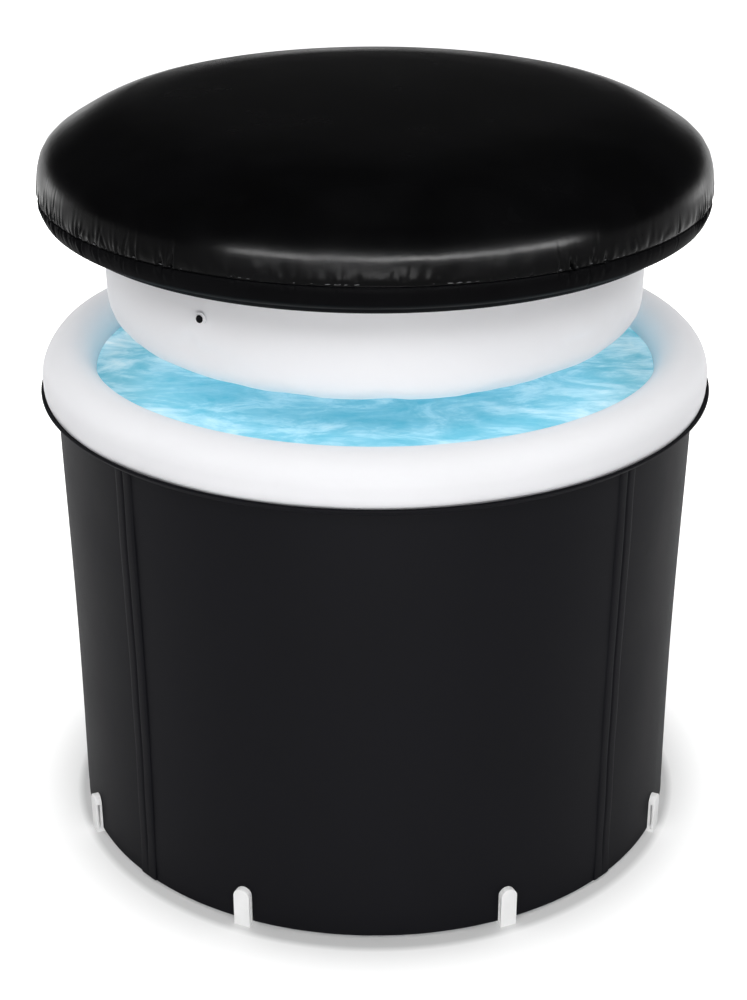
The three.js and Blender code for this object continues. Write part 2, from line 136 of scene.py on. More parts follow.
class TubWallSettings(bpy.types.PropertyGroup):
    """Sizes of the cloth wall, its seams and its collar"""
    radius: length("Radius", "Outside of the cloth wall", reach(*SHELL_PANELS)[1])
    thickness: length("Cloth", "Thickness of the coated cloth", 2 * MM)
    strip_spread: share("Strip spread", "Width of a seam strip, as a share of its packed width", 1.35)
    flare: length("Flare", "How far the wall spreads at its mouth", 5 * MM)
    slack: length("Slack", "Largest slow wave in the cloth", 0.7 * MM)
    strip_rise: length("Strip rise", "How far either half of a seam strip stands up", 1.4 * MM)
    strip_groove: length("Strip groove", "Depth of the sewn line along a strip's middle", 1.0 * MM)
    hem_depth: length("Hem depth", "Depth of the sewn line above the wall's lower edge", 0.8 * MM)
    hem_level: length("Hem level", "Height of that line above the edge", 11 * MM)
    seed: count("Seed", "Fixes the waves", 11)


class TubAirSettings(bpy.types.PropertyGroup):
    """Sizes of the air ring and the air cushion"""
    ring_half_width: length("Ring half width", "Half of the ring's width", (RING_OUT - RING_IN) / 2)
    ring_half_height: length("Ring half height", "Half of the ring's height", (RING_HIGH - RING_LOW) / 2)
    ring_fullness: share("Ring fullness", "How square the ring's lower outside is, 2 for an oval", 4.0)
    cushion_radius: length("Cushion radius", "Outside of the cushion", reach("air_cushion")[1] - 3.5 * MM)
    lower_width: length("Lower width", "Width of the cushion's lower rounding", 110 * MM)
    lower_height: length("Lower height", "Height of the cushion's lower rounding", 60 * MM)
    upper_width: length("Upper width", "Width of the cushion's upper rounding", 20 * MM)
    upper_height: length("Upper height", "Height of the cushion's upper rounding", 70 * MM)
    lower_fullness: share("Lower fullness", "How square the lower rounding is, 2 for an oval", 3.0)
    cushion_belly: length("Belly", "How far the underside swells", 5 * MM)
    pressure: share("Pressure", "Air pressure in the cloth simulation", 4.0)
    swell: length("Swell", "Most that the simulation may move a point of the cushion", 3 * MM)
    ring_swell: length("Ring swell", "Most that the simulation may move a point of the ring", 0.8 * MM)
    ring_wave: length("Ring waves", "Height of the slow waves round the ring", 0.4 * MM)
    cushion_wave: length("Cushion waves", "Height of the slow waves round the cushion", 0.8 * MM)
    valve_seat: length("Valve seat", "Size of the flat round the cushion's valve", 24 * MM)


class TubLidSettings(bpy.types.PropertyGroup):
    """Sizes of the padded lid and its sewn seam"""
    radius: length("Radius", "Outside of the lid at its seam", reach("lid_top_cover", "lid_seam_welt")[1])
    seam: length("Seam level", "Height of the sewn seam", LID_SEAM)
    round: length("Rounding", "Width of the rounding round the top", 143 * MM)
    crown: length("Crown", "How far the top swells above its shoulder", 3 * MM)
    tuck: length("Tuck", "How far the band goes in below the seam", 29 * MM)
    hem: length("Hem", "Rounding of the band's lower edge", 10 * MM)
    cover: length("Cover", "Thickness of the leather", 2 * MM)
    pressure: share("Padding", "Pressure of the padding in the cloth simulation", 4.0)
    slackness: share("Gathering", "Spare length of leather that the seam gathers", 0.03)
    swell: length("Swell", "Most that the simulation may move a point", 7 * MM)
    roll: length("Roll", "How far the leather stands out on either side of the seam", 6.2 * MM)
    roll_width: length("Roll width", "How far from the seam the roll fades", 80 * MM)
    shoulder: length("Shoulder", "How far the leather stands out above the roll", 7.5 * MM)
    shoulder_place: length("Shoulder place", "From the seam to the fullest part of the shoulder", 54 * MM)
    shoulder_width: length("Shoulder width", "How far from there the shoulder fades", 31 * MM)
    groove: length("Groove", "How far the seam draws the leather in", 2.4 * MM)
    groove_width: length("Groove width", "How far from the seam the groove fades", 4 * MM)
    puckers: count("Puckers", "Number of small creases along the seam", 280)
    pucker_depth: length("Pucker depth", "Depth of the deepest creases", 3.0 * MM)
    stitch_pitch: length("Stitch pitch", "From one stitch to the next", 11 * MM)
    stitch_length: length("Stitch length", "Length of one stitch", 8 * MM)
    stitch_thickness: length("Thread", "Thickness of the thread", 1.4 * MM)
    stitch_out: length("Stitches out", "How far the stitches stand outside the seam's radius", 4.3 * MM)
    stitch_rise: length("Stitches up", "How far the stitches lie above the seam", 2.6 * MM)
    welt_out: length("Welt out", "How far the welt stands outside the seam's radius", 2.2 * MM)
    seed: count("Seed", "Fixes the creases and the stitches", 5)


class TubWaterSettings(bpy.types.PropertyGroup):
    """Level and ripples of the water"""
    level: length("Level", "Height of the water", 690 * MM)
    ripple: length("Ripple", "Height of the ripples", 1.1 * MM)
    seed: count("Seed", "Fixes the ripples", 3)


class TubColourSettings(bpy.types.PropertyGroup):
    """Colours of the finishes"""
    cloth: colour("Cloth", "Coated cloth of the wall", (0.0052, 0.0052, 0.0068))
    leather: colour("Leather", "Lid", (0.0020, 0.0020, 0.0022))
    thread: colour("Thread", "Stitches of the lid", (0.10, 0.10, 0.105))
    vinyl: colour("Vinyl", "Air ring and air cushion", (0.90, 0.90, 0.925))
    plastic: colour("Plastic", "Clip feet and valve bodies", (0.92, 0.92, 0.92))
    dark_plastic: colour("Dark plastic", "Drain and plugs", (0.009, 0.0095, 0.0105))
    # Darker water tone, painted as shade under the cushion and between the light streaks.
    water_shaded: colour("Deep water", "Water in the shade of the cushion", (0.14, 0.50, 0.63))
    # Colour of the light streaks painted on the water.
    water_bright: colour("Bright water", "Light streaks in the water", (0.46, 0.73, 0.83))
    floor: colour("Floor", "Studio floor", (0.70, 0.70, 0.70))


class TubStageSettings(bpy.types.PropertyGroup):
    """Camera, lamps and floor"""
    camera_distance: length("Camera distance", "Level distance from the axis to the camera", 2.6067)
    camera_height: length("Camera height", "Height of the camera", 1.6684)
    camera_pitch: FloatProperty(
        name="Camera pitch", description="How far the camera looks down",
        default=math.radians(24.899), subtype="ANGLE",
    )
    lens: FloatProperty(name="Lens", description="Focal length on a 36 mm long side", default=69.375)
    shift: FloatProperty(name="Shift", description="Sideways shift of the picture", default=-0.0017)
    overhead: power("Overhead", "Wide overhead lamp", 56.0)
    key: power("Key", "Lamp high in front", 56.0)
    open: power("Open light", "Light from straight above that throws no shadow", 46.0)
    strips: power("Strips", "Each of the strips that draw the shine along the lid's edge", 0.08)
    low: power("Low", "Low panel in front, for the wall's shine", 40.0)
    fill: power("Fill", "Low lamp in front", 70.0)
    sides: power("Sides", "Lamp on either side", 38.0)
    back: power("Back", "Low lamp behind", 45.0)
    edges: power("Edges", "Small lamp behind on either side, for its shine", 2.6)
    ambient: share("Ambient", "Level light from all round", 0.03)


class TubSettings(bpy.types.PropertyGroup):
    """All settings of the tub"""
    wall: PointerProperty(type=TubWallSettings, name="Wall", description="Cloth wall")
    air: PointerProperty(type=TubAirSettings, name="Air", description="Air ring and cushion")
    lid: PointerProperty(type=TubLidSettings, name="Lid", description="Padded lid")
    water: PointerProperty(type=TubWaterSettings, name="Water", description="Water")
    colours: PointerProperty(type=TubColourSettings, name="Colours", description="Colours")
    stage: PointerProperty(type=TubStageSettings, name="Stage", description="Studio")


# Shapes

def around(radius, angle, level):
    """Points at a distance from the axis, an angle from the front and a level."""
    radius, angle, level = np.broadcast_arrays(radius, angle, level)
    return np.stack([radius * np.sin(angle), -radius * np.cos(angle), level], axis=-1)


def spun(profile, angle):
    """A (radius, level) profile turned about the axis to each of some angles."""
    return around(profile[:, :1], angle[None, :], profile[:, 1:])


def oval_arc(centre, width, height, start, end, steps):
    """Points on an ellipse in the (radius, level) plane."""
    angle = np.linspace(start, end, steps + 1)
    return np.stack([centre[0] + width * np.cos(angle), centre[1] + height * np.sin(angle)], axis=-1)


def squared_arc(centre, width, height, start, end, steps, fullness):
    """Points on a fuller ellipse in the (radius, level) plane."""
    angle = np.linspace(start, end, steps + 1)
    along = np.stack([np.cos(angle), np.sin(angle)], axis=-1)
    along = np.sign(along) * np.abs(along) ** (2 / np.reshape(fullness(angle), (-1, 1)))
    return np.array(centre) + along * (width, height)


def ring_outline(air, steps, grow=0.0, start=-math.pi, end=math.pi):
    """Section of the air ring, fuller at its lower outside where the collar holds it."""
    def fullness(angle):
        return np.where((angle < 0) & (angle > -math.pi / 2), air.ring_fullness, 2.0)

    centre = ((RING_IN + RING_OUT) / 2, (RING_LOW + RING_HIGH) / 2)
    return squared_arc(
        centre, air.ring_half_width + grow, air.ring_half_height + grow, start, end, steps, fullness,
    )


def lengths_along(points):
    """Distance along a line of points, starting at 0."""
    steps = np.hypot(*np.diff(points, axis=0).T)
    return np.concatenate([[0.0], np.cumsum(steps)])


def at_lengths(points, along, wanted):
    """Points of a line at wanted distances along it."""
    return np.stack([np.interp(wanted, along, points[:, k]) for k in range(2)], axis=-1)


def outward(profile, closed=False):
    """Outward normals of a profile that runs out and up from the axis."""
    if closed:
        run = np.roll(profile, -1, axis=0) - np.roll(profile, 1, axis=0)
    else:
        run = np.gradient(profile, axis=0)
    run = run / np.maximum(np.hypot(run[:, 0], run[:, 1]), 1e-12)[:, None]
    return np.stack([run[:, 1], -run[:, 0]], axis=-1)


def turns(steps):
    """Angles of a full turn."""
    return np.arange(steps) * FULL_TURN / steps


def waves(angle, seed, lowest, highest, rows=1):
    """Smooth random waves round a full turn, about 1 high, one line for each row."""
    rng = np.random.default_rng(seed)
    out = np.zeros((rows, np.size(angle)))
    for cycles in range(lowest, highest + 1):
        height = rng.normal(size=(rows, 2)) / math.sqrt(highest - lowest + 1)
        out += height[:, :1] * np.sin(cycles * angle) + height[:, 1:] * np.cos(cycles * angle)
    return out


def link(mesh, finish=None):
    """A mesh as an object of the scene, at the origin, in one of the finishes."""
    piece = bpy.data.objects.new(mesh.name, mesh)
    bpy.context.scene.collection.objects.link(piece)
    if finish:
        mesh.materials.clear()
        mesh.materials.append(finish_of(finish))
    return piece


def grid_mesh(name, grid, loop=False, full=True, poles=(None, None)):
    """Closed mesh over rows of points.

    loop joins the last row to the first, full joins the last column to the first, and poles are the
    levels on the axis that close the first and the last row. A UV map in metres runs round and along.
    """
    rows, columns = grid.shape[:2]
    row, column = np.meshgrid(
        np.arange(rows if loop else rows - 1), np.arange(columns if full else columns - 1), indexing="ij",
    )
    row, column = row.ravel(), column.ravel()
    row_next, column_next = (row + 1) % rows, (column + 1) % columns
    quads = np.stack([
        row * columns + column, row * columns + column_next,
        row_next * columns + column_next, row_next * columns + column,
    ], axis=-1)
    points = [grid.reshape(-1, 3)]
    faces = quads.tolist()
    for k, level in enumerate(poles):
        if level is None:
            continue
        tip = rows * columns + len(points) - 1
        points.append(np.array([[0.0, 0.0, level]]))
        edge = (0 if k == 0 else rows - 1) * columns + np.arange(columns)
        faces += [[tip, int(a), int(b)] for a, b in zip(edge, np.roll(edge, -1))]
    if not full:
        ends = np.arange(rows) * columns
        faces += [ends.tolist(), (ends + columns - 1)[::-1].tolist()]
    mesh = bpy.data.meshes.new(name)
    mesh.from_pydata(np.concatenate(points).tolist(), [], faces)

    step_round = np.linalg.norm(grid - np.roll(grid, -1, axis=1), axis=2).max(axis=0)
    step_along = np.linalg.norm(grid - np.roll(grid, -1, axis=0), axis=2).mean(axis=1)
    u = np.concatenate([[0.0], np.cumsum(step_round)])
    v = np.concatenate([[0.0], np.cumsum(step_along)])
    corners = np.stack([
        np.stack([u[column], v[row]], -1), np.stack([u[column + 1], v[row]], -1),
        np.stack([u[column + 1], v[row + 1]], -1), np.stack([u[column], v[row + 1]], -1),
    ], axis=1).reshape(-1, 2)
    layer = mesh.uv_layers.new(name="cloth")
    flat = np.zeros(len(mesh.loops) * 2)
    flat[:corners.size] = corners.ravel()
    layer.data.foreach_set("uv", flat)

    tidy = bmesh.new()
    tidy.from_mesh(mesh)
    bmesh.ops.recalc_face_normals(tidy, faces=tidy.faces)
    tidy.to_mesh(mesh)
    tidy.free()
    mesh.shade_smooth()
    mesh.set_sharp_from_angle(angle=math.radians(50))
    return mesh


def turned_mesh(name, profile, steps, loop=False, poles=(None, None)):
    """Mesh of a profile turned about the axis."""
    return grid_mesh(name, spun(profile, turns(steps)), loop=loop, poles=poles)


def applied(piece):
    """Turns an object's modifiers into a plain mesh."""
    graph = bpy.context.evaluated_depsgraph_get()
    mesh = bpy.data.meshes.new_from_object(piece.evaluated_get(graph), depsgraph=graph)
    piece.modifiers.clear()
    piece.data = mesh
    return piece


def refined(node, name, finish, bevel, segments=2):
    """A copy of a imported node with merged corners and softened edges."""
    mesh = bpy.data.meshes.new(name)
    copy = bmesh.new()
    copy.from_mesh(frame["nodes"][node].data)
    bmesh.ops.remove_doubles(copy, verts=copy.verts, dist=1e-6)
    bmesh.ops.dissolve_limit(
        copy, angle_limit=math.radians(0.5), verts=copy.verts, edges=copy.edges, delimit={"NORMAL"},
    )
    copy.to_mesh(mesh)
    copy.free()
    return softened(link(mesh, finish), bevel, segments, 35)


def softened(piece, bevel, segments, smooth):
    """Bevels the sharp edges of a piece and shades the rest smooth."""
    edge = piece.modifiers.new("soft edges", "BEVEL")
    edge.width = bevel
    edge.segments = segments
    edge.limit_method = "ANGLE"
    edge.angle_limit = math.radians(smooth)
    edge.use_clamp_overlap = True
    piece = applied(piece)
    piece.data.shade_smooth()
    piece.data.set_sharp_from_angle(angle=math.radians(smooth))
    return piece


def turned_copy(node, name, finish, origin, axis):
    """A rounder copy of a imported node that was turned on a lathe, about its own axis."""
    steps, tiny = 64, 1e-4
    source = bmesh.new()
    source.from_mesh(frame["nodes"][node].data)
    bmesh.ops.remove_doubles(source, verts=source.verts, dist=1e-6)
    axis, origin = Vector(axis).normalized(), Vector(origin)
    side = axis.orthogonal().normalized()
    up = axis.cross(side)
    place = {}
    for vertex in source.verts:
        depth = (vertex.co - origin).dot(axis)
        off = vertex.co - origin - depth * axis
        place[vertex] = (off.length, depth, math.atan2(off.dot(up), off.dot(side)))
    first = next(a for r, _, a in place.values() if r > tiny)
    on_line = [
        v for v, (r, _, a) in place.items()
        if r < tiny or abs(math.remainder(a - first, FULL_TURN)) < 1e-3
    ]
    near = {v: [e.other_vert(v) for e in v.link_edges if e.other_vert(v) in on_line] for v in on_line}
    ends = [v for v in on_line if len(near[v]) == 1]
    walk = [ends[0] if ends else on_line[0]]
    while True:
        onward = [v for v in near[walk[-1]] if v not in walk]
        if not onward:
            break
        walk.append(onward[0])
    profile = [place[v][:2] for v in walk]
    if ends:
        caps = [(0.0, profile[k][1]) for k in (0, -1) if profile[k][0] > tiny]
        profile = caps[:1] * (profile[0][0] > tiny) + profile + caps[-1:] * (profile[-1][0] > tiny)
    source.free()
    made = bmesh.new()
    rings = []
    for radius, depth in profile:
        if radius < tiny:
            rings.append([made.verts.new(origin + depth * axis)])
            continue
        rings.append([
            made.verts.new(origin + depth * axis + radius * (side * math.cos(a) + up * math.sin(a)))
            for a in turns(steps)
        ])
    pairs = list(zip(rings, rings[1:])) + ([] if ends else [(rings[-1], rings[0])])
    for a, b in pairs:
        for k in range(steps):
            corners = [a[k % len(a)], a[(k + 1) % len(a)], b[(k + 1) % len(b)], b[k % len(b)]]
            made.faces.new(list(dict.fromkeys(corners)))
    bmesh.ops.recalc_face_normals(made, faces=made.faces)
    mesh = bpy.data.meshes.new(name)
    made.to_mesh(mesh)
    made.free()
    return softened(link(mesh, finish), 0.5 * MM, 2, 30)


def carried(piece, body, slot, *nodes):
    """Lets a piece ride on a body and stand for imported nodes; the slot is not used."""
    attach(piece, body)
    if nodes:
        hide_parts(*nodes)
    return piece


def dressed(mesh, finish, body, slot, *nodes):
    """A mesh in a finish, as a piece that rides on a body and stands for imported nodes."""
    return carried(link(mesh, finish), body, slot, *nodes)


# Cloth simulation of skins that are turned about the axis

def puffed(grid, poles, held, pressure, most, loop=False, gathered=None, slackness=0.0, frames=18):
    """How air or padding moves a closed skin: (radial, sideways, up) for each point of its grid.

    held gives the rows that are sewn down and gathered the rows' share of spare length.
    """
    rows, columns = grid.shape[:2]
    skin = link(grid_mesh("simulated_skin", grid, loop=loop, poles=poles))
    sewn = skin.vertex_groups.new(name="sewn")
    sewn.add([r * columns + c for r in held for c in range(columns)], 1.0, "REPLACE")
    cloth = skin.modifiers.new("cloth", "CLOTH")
    settings = cloth.settings
    settings.quality = 6
    settings.vertex_group_mass = sewn.name
    settings.use_pressure = True
    settings.uniform_pressure_force = pressure
    settings.tension_stiffness = settings.compression_stiffness = 18
    settings.shear_stiffness = 6
    settings.bending_stiffness = 0.6
    settings.effector_weights.gravity = 0.0
    if gathered is not None:
        spare = skin.vertex_groups.new(name="spare")
        for r, weight in enumerate(gathered):
            spare.add([r * columns + c for c in range(columns)], float(weight), "REPLACE")
        settings.vertex_group_shrink = spare.name
        settings.shrink_min = 0.0
        settings.shrink_max = -slackness
    cloth.point_cache.frame_start = 1
    cloth.point_cache.frame_end = frames
    scene = bpy.context.scene
    for step in range(1, frames + 1):
        scene.frame_set(step)
    graph = bpy.context.evaluated_depsgraph_get()
    moved = skin.evaluated_get(graph).to_mesh()
    points = np.empty(len(moved.vertices) * 3)
    moved.vertices.foreach_get("co", points)
    points = points.reshape(-1, 3)[:rows * columns].reshape(grid.shape)
    scene.frame_set(1)
    mesh = skin.data
    bpy.data.objects.remove(skin)
    bpy.data.meshes.remove(mesh)
    if not np.isfinite(points).all():
        raise RuntimeError("the cloth simulation failed")
    shift = points - grid
    far = np.linalg.norm(shift, axis=2, keepdims=True)
    shift = shift * most * np.tanh(far / most) / np.maximum(far, 1e-9)
    angle = np.arctan2(grid[..., 0], -grid[..., 1])
    radial = shift[..., 0] * np.sin(angle) - shift[..., 1] * np.cos(angle)
    sideways = shift[..., 0] * np.cos(angle) + shift[..., 1] * np.sin(angle)
    return np.stack([radial, sideways, shift[..., 2]], axis=-1)


def finer(field, along, wanted, columns):
    """A field over a coarse grid, read at wanted distances along and at more columns round."""
    place = np.interp(wanted, along, np.arange(len(along)))
    low = np.clip(place.astype(int), 0, len(along) - 2)
    part = (place - low)[:, None, None]
    rows = field[low] * (1 - part) + field[low + 1] * part
    spectrum = np.fft.rfft(rows, axis=1)
    return np.fft.irfft(spectrum, n=columns, axis=1) * columns / field.shape[1]


def moved_grid(profile, angle, field):
    """A turned profile moved by a (radial, sideways, up) field."""
    radius = profile[:, :1] + field[..., 0]
    return around(radius, angle[None, :] + field[..., 1] / np.maximum(radius, 0.02),
                  profile[:, 1:] + field[..., 2])


# Finishes

class Nodes:
    """Adds nodes to a tree and joins them."""

    def __init__(self, tree):
        self.tree = tree

    def add(self, kind, inputs=None, **settings):
        node = self.tree.nodes.new(kind)
        for key, value in settings.items():
            setattr(node, key, value)
        for key, value in (inputs or {}).items():
            self.join(value, node.inputs[key])
        return node

    def join(self, value, socket):
        if isinstance(value, bpy.types.NodeSocket):
            self.tree.links.new(value, socket)
        else:
            socket.default_value = value

    def sum(self, first, second, operation="ADD"):
        return self.add("ShaderNodeMath", {0: first, 1: second}, operation=operation).outputs["Value"]

    def between(self, value, low, high, start=0.0, end=1.0):
        inputs = {"Value": value, "From Min": start, "From Max": end, "To Min": low, "To Max": high}
        return self.add("ShaderNodeMapRange", inputs).outputs["Result"]

    def distance(self, vector):
        return self.add("ShaderNodeVectorMath", {0: vector}, operation="LENGTH").outputs["Value"]


class Finish(Nodes):
    """A procedural material on Object coordinates or on the piece's own UV map."""

    def __init__(self, name, **sockets):
        self.material = bpy.data.materials.new(name)
        self.material.use_nodes = True
        super().__init__(self.material.node_tree)
        self.shader = self.tree.nodes["Principled BSDF"]
        self.where = self.add("ShaderNodeTexCoord")
        for key, value in sockets.items():
            self.shader.inputs[key.replace("_", " ")].default_value = value

    def noise(self, scale, detail=3.0, roughness=0.5, distortion=0.0, vector=None):
        inputs = {"Scale": scale, "Detail": detail, "Roughness": roughness, "Distortion": distortion}
        inputs["Vector"] = self.where.outputs["Object"] if vector is None else vector
        return self.add("ShaderNodeTexNoise", inputs).outputs["Fac"]

    def stretched(self, scale, coordinates="Object"):
        inputs = {"Vector": self.where.outputs[coordinates], "Scale": scale}
        return self.add("ShaderNodeMapping", inputs).outputs["Vector"]

    def cells(self, scale):
        inputs = {"Vector": self.where.outputs["Object"], "Scale": scale}
        node = self.add("ShaderNodeTexVoronoi", inputs, feature="SMOOTH_F1")
        return node.outputs["Distance"]

    def ramp(self, value, *stops):
        node = self.add("ShaderNodeValToRGB", {"Fac": value})
        band = node.color_ramp
        while len(band.elements) < len(stops):
            band.elements.new(0.5)
        for element, (position, tone) in zip(band.elements, stops):
            element.position = position
            element.color = (*tone, 1.0)
        return node.outputs["Color"]

    def bump(self, height, depth, strength=1.0, normal=None):
        inputs = {"Height": height, "Strength": strength, "Distance": depth}
        if normal is not None:
            inputs["Normal"] = normal
        return self.add("ShaderNodeBump", inputs).outputs["Normal"]

    def use(self, **sockets):
        for key, value in sockets.items():
            self.join(value, self.shader.inputs[key.replace("_", " ")])
        return self.material

    def clouded(self, cloud, base, dark, light, rough, normal):
        """Lets slow patches change the tone between two stops, and the gloss."""
        stops = [(position, tone(base, factor)) for position, factor in (dark, light)]
        tint, gloss = self.ramp(cloud, *stops), self.between(cloud, *rough)
        return self.use(Base_Color=tint, Roughness=gloss, Normal=normal)


def tone(base, factor):
    """A colour made darker or lighter."""
    return tuple(min(1.0, part * factor) for part in base)


FINISHES = {}


def finish_of(name):
    """One of the tub's finishes, made on first use."""
    if name not in FINISHES:
        FINISHES[name] = MAKERS[name](bpy.context.scene.tub.colours)
    return FINISHES[name]


def coated_cloth(colours):
    """Coated charcoal cloth with a fine weave and faint scuffs"""
    base = tuple(colours.cloth)
    finish = Finish("coated_cloth", Specular_IOR_Level=0.06)
    weave = finish.stretched((1150.0, 1150.0, 1.0), "UV")
    threads = finish.add("ShaderNodeTexChecker", {"Vector": weave, "Scale": 1.0}).outputs["Fac"]
    grain = finish.noise(900.0, 2.0)
    cloud = finish.noise(5.0, 4.0, 0.6)
    shade = finish.sum(finish.between(cloud, -0.02, 0.78), finish.between(grain, 0.0, 0.2))
    normal = finish.bump(finish.sum(finish.between(threads, 0.0, 0.5), grain), 0.12 * MM, 0.5)
    normal = finish.bump(finish.noise(26.0, 3.0), 1.2 * MM, 0.25, normal)
    return finish.use(
        Base_Color=finish.ramp(shade, (0.25, tone(base, 0.82)), (0.75, tone(base, 1.2))),
        Roughness=finish.between(cloud, 0.5, 0.64), Normal=normal,
    )


def lid_leather(colours):
    """Black soft leather with a fine pebble grain"""
    finish = Finish("lid_leather", Specular_IOR_Level=0.035)
    cloud = finish.noise(9.0, 4.0, 0.55)
    normal = finish.bump(finish.cells(620.0), 0.10 * MM, 0.35)
    normal = finish.bump(finish.noise(55.0, 3.0, 0.55, 0.4), 0.9 * MM, 0.22, normal)
    return finish.clouded(
        cloud, tuple(colours.leather), (0.3, 0.8), (0.75, 1.5), (0.2, 0.28, 0.3, 0.7), normal,
    )


def band_leather(colours):
    """The duller leather of the band below the seam"""
    finish = Finish("band_leather", Specular_IOR_Level=0.004)
    cloud = finish.noise(11.0, 4.0, 0.55)
    normal = finish.bump(finish.cells(620.0), 0.10 * MM, 0.35)
    return finish.clouded(
        cloud, tuple(colours.leather), (0.3, 1.8), (0.75, 2.7), (0.36, 0.46, 0.3, 0.7), normal,
    )


def seam_thread(colours):
    """Twisted dark thread"""
    base = tuple(colours.thread)
    finish = Finish("seam_thread", Roughness=0.55, Specular_IOR_Level=0.2)
    twist = finish.noise(1500.0, 2.0)
    return finish.use(
        Base_Color=finish.ramp(twist, (0.35, tone(base, 0.6)), (0.7, tone(base, 1.4))),
        Normal=finish.bump(twist, 0.15 * MM, 0.6),
    )


def white_vinyl(colours):
    """White vinyl, a little cool, with a fine matt grain"""
    finish = Finish("white_vinyl", Specular_IOR_Level=0.07)
    cloud = finish.noise(4.0, 3.0, 0.5)
    normal = finish.bump(finish.noise(700.0, 2.0), 0.06 * MM, 0.35)
    normal = finish.bump(finish.noise(14.0, 2.0, 0.5, 0.3), 1.6 * MM, 0.16, normal)
    return finish.clouded(
        cloud, tuple(colours.vinyl), (0.3, 0.965), (0.7, 1.0), (0.36, 0.5, 0.3, 0.7), normal,
    )


def moulded(name, base, low, high, grain=1680.0):
    """Moulded plastic with a fine sparked grain and slow changes of gloss"""
    finish = Finish(name, Specular_IOR_Level=0.22)
    cloud = finish.noise(30.0, 3.0)
    normal = finish.bump(finish.noise(grain, 2.0), 0.05 * MM, 0.4)
    return finish.clouded(cloud, base, (0.3, 0.95), (0.7, 1.03), (low, high, 0.3, 0.7), normal)


def stopper_plastic(colours):
    """Dull black plastic of the plugs"""
    finish = Finish("stopper_plastic", Specular_IOR_Level=0.08)
    cloud = finish.noise(120.0, 3.0)
    normal = finish.bump(cloud, 0.1 * MM, 0.4)
    return finish.clouded(
        cloud, tuple(colours.dark_plastic), (0.3, 0.3), (0.7, 0.5), (0.7, 0.85), normal,
    )


def wall_foam(colours):
    """Pale open foam"""
    finish = Finish("wall_foam", Roughness=0.95, Specular_IOR_Level=0.2)
    holes = finish.cells(260.0)
    return finish.use(
        Base_Color=finish.ramp(holes, (0.05, (0.5, 0.5, 0.53)), (0.5, (0.7, 0.71, 0.74))),
        Normal=finish.bump(holes, 0.8 * MM, 0.7),
    )


def tub_water(colours):
    """Blue water with painted light: cloudy light streaks, painted shade near the cushion and a faint glow of
    its own
    """
    shaded_tone, bright = tuple(colours.water_shaded), tuple(colours.water_bright)
    # Painted glow: the water gives off a little light in its own tint, which keeps it bright in the shade of
    # the lid and the cushion.
    finish = Finish("tub_water", Roughness=0.16, Specular_IOR_Level=0.4, Emission_Strength=0.22)
    # Painted light: slow clouds and flecks lay light streaks on the water, near white at their brightest,
    # where rippled water would catch the light.
    drift = finish.stretched((1.0, 1.7, 1.0))
    cloud = finish.noise(7.0, 6.0, 0.6, 1.5, drift)
    fleck = finish.noise(34.0, 3.0, 0.6, 1.4, drift)
    mix = finish.sum(finish.between(cloud, -0.02, 0.78), finish.between(fleck, 0.0, 0.2))
    # Painted shade: the water is darker near the middle, under the cushion, and lighter towards the ring.
    away = finish.distance(finish.stretched((1, 1, 0)))
    mix = finish.sum(mix, finish.between(away, 0.0, 0.06, 0.33, 0.39))
    middle = tuple(0.62 * a + 0.38 * b for a, b in zip(shaded_tone, bright))
    tint = finish.ramp(mix, (0.33, shaded_tone), (0.45, middle), (0.55, bright), (0.72, (0.8, 0.92, 0.96)))
    normal = finish.bump(finish.noise(60.0, 2.0, 0.5, 0.8, drift), 1.0 * MM, 0.25)
    return finish.use(Base_Color=tint, Emission_Color=tint, Normal=normal)


MAKERS = {
    "cloth": coated_cloth, "leather": lid_leather, "band": band_leather, "thread": seam_thread,
    "vinyl": white_vinyl, "stopper": stopper_plastic, "foam": wall_foam, "water": tub_water,
    "plastic": lambda colours: moulded("white_plastic", tuple(colours.plastic), 0.38, 0.5),
    "dark_plastic": lambda colours: moulded("dark_plastic", tuple(colours.dark_plastic), 0.38, 0.52),
    "rod": lambda colours: moulded("rod_plastic", (0.48, 0.5, 0.52), 0.42, 0.55),
    "rubber": lambda colours: moulded("black_rubber", (0.006, 0.006, 0.006), 0.7, 0.85, 1000.0),
}


# Stitches along a path, made with Geometry Nodes

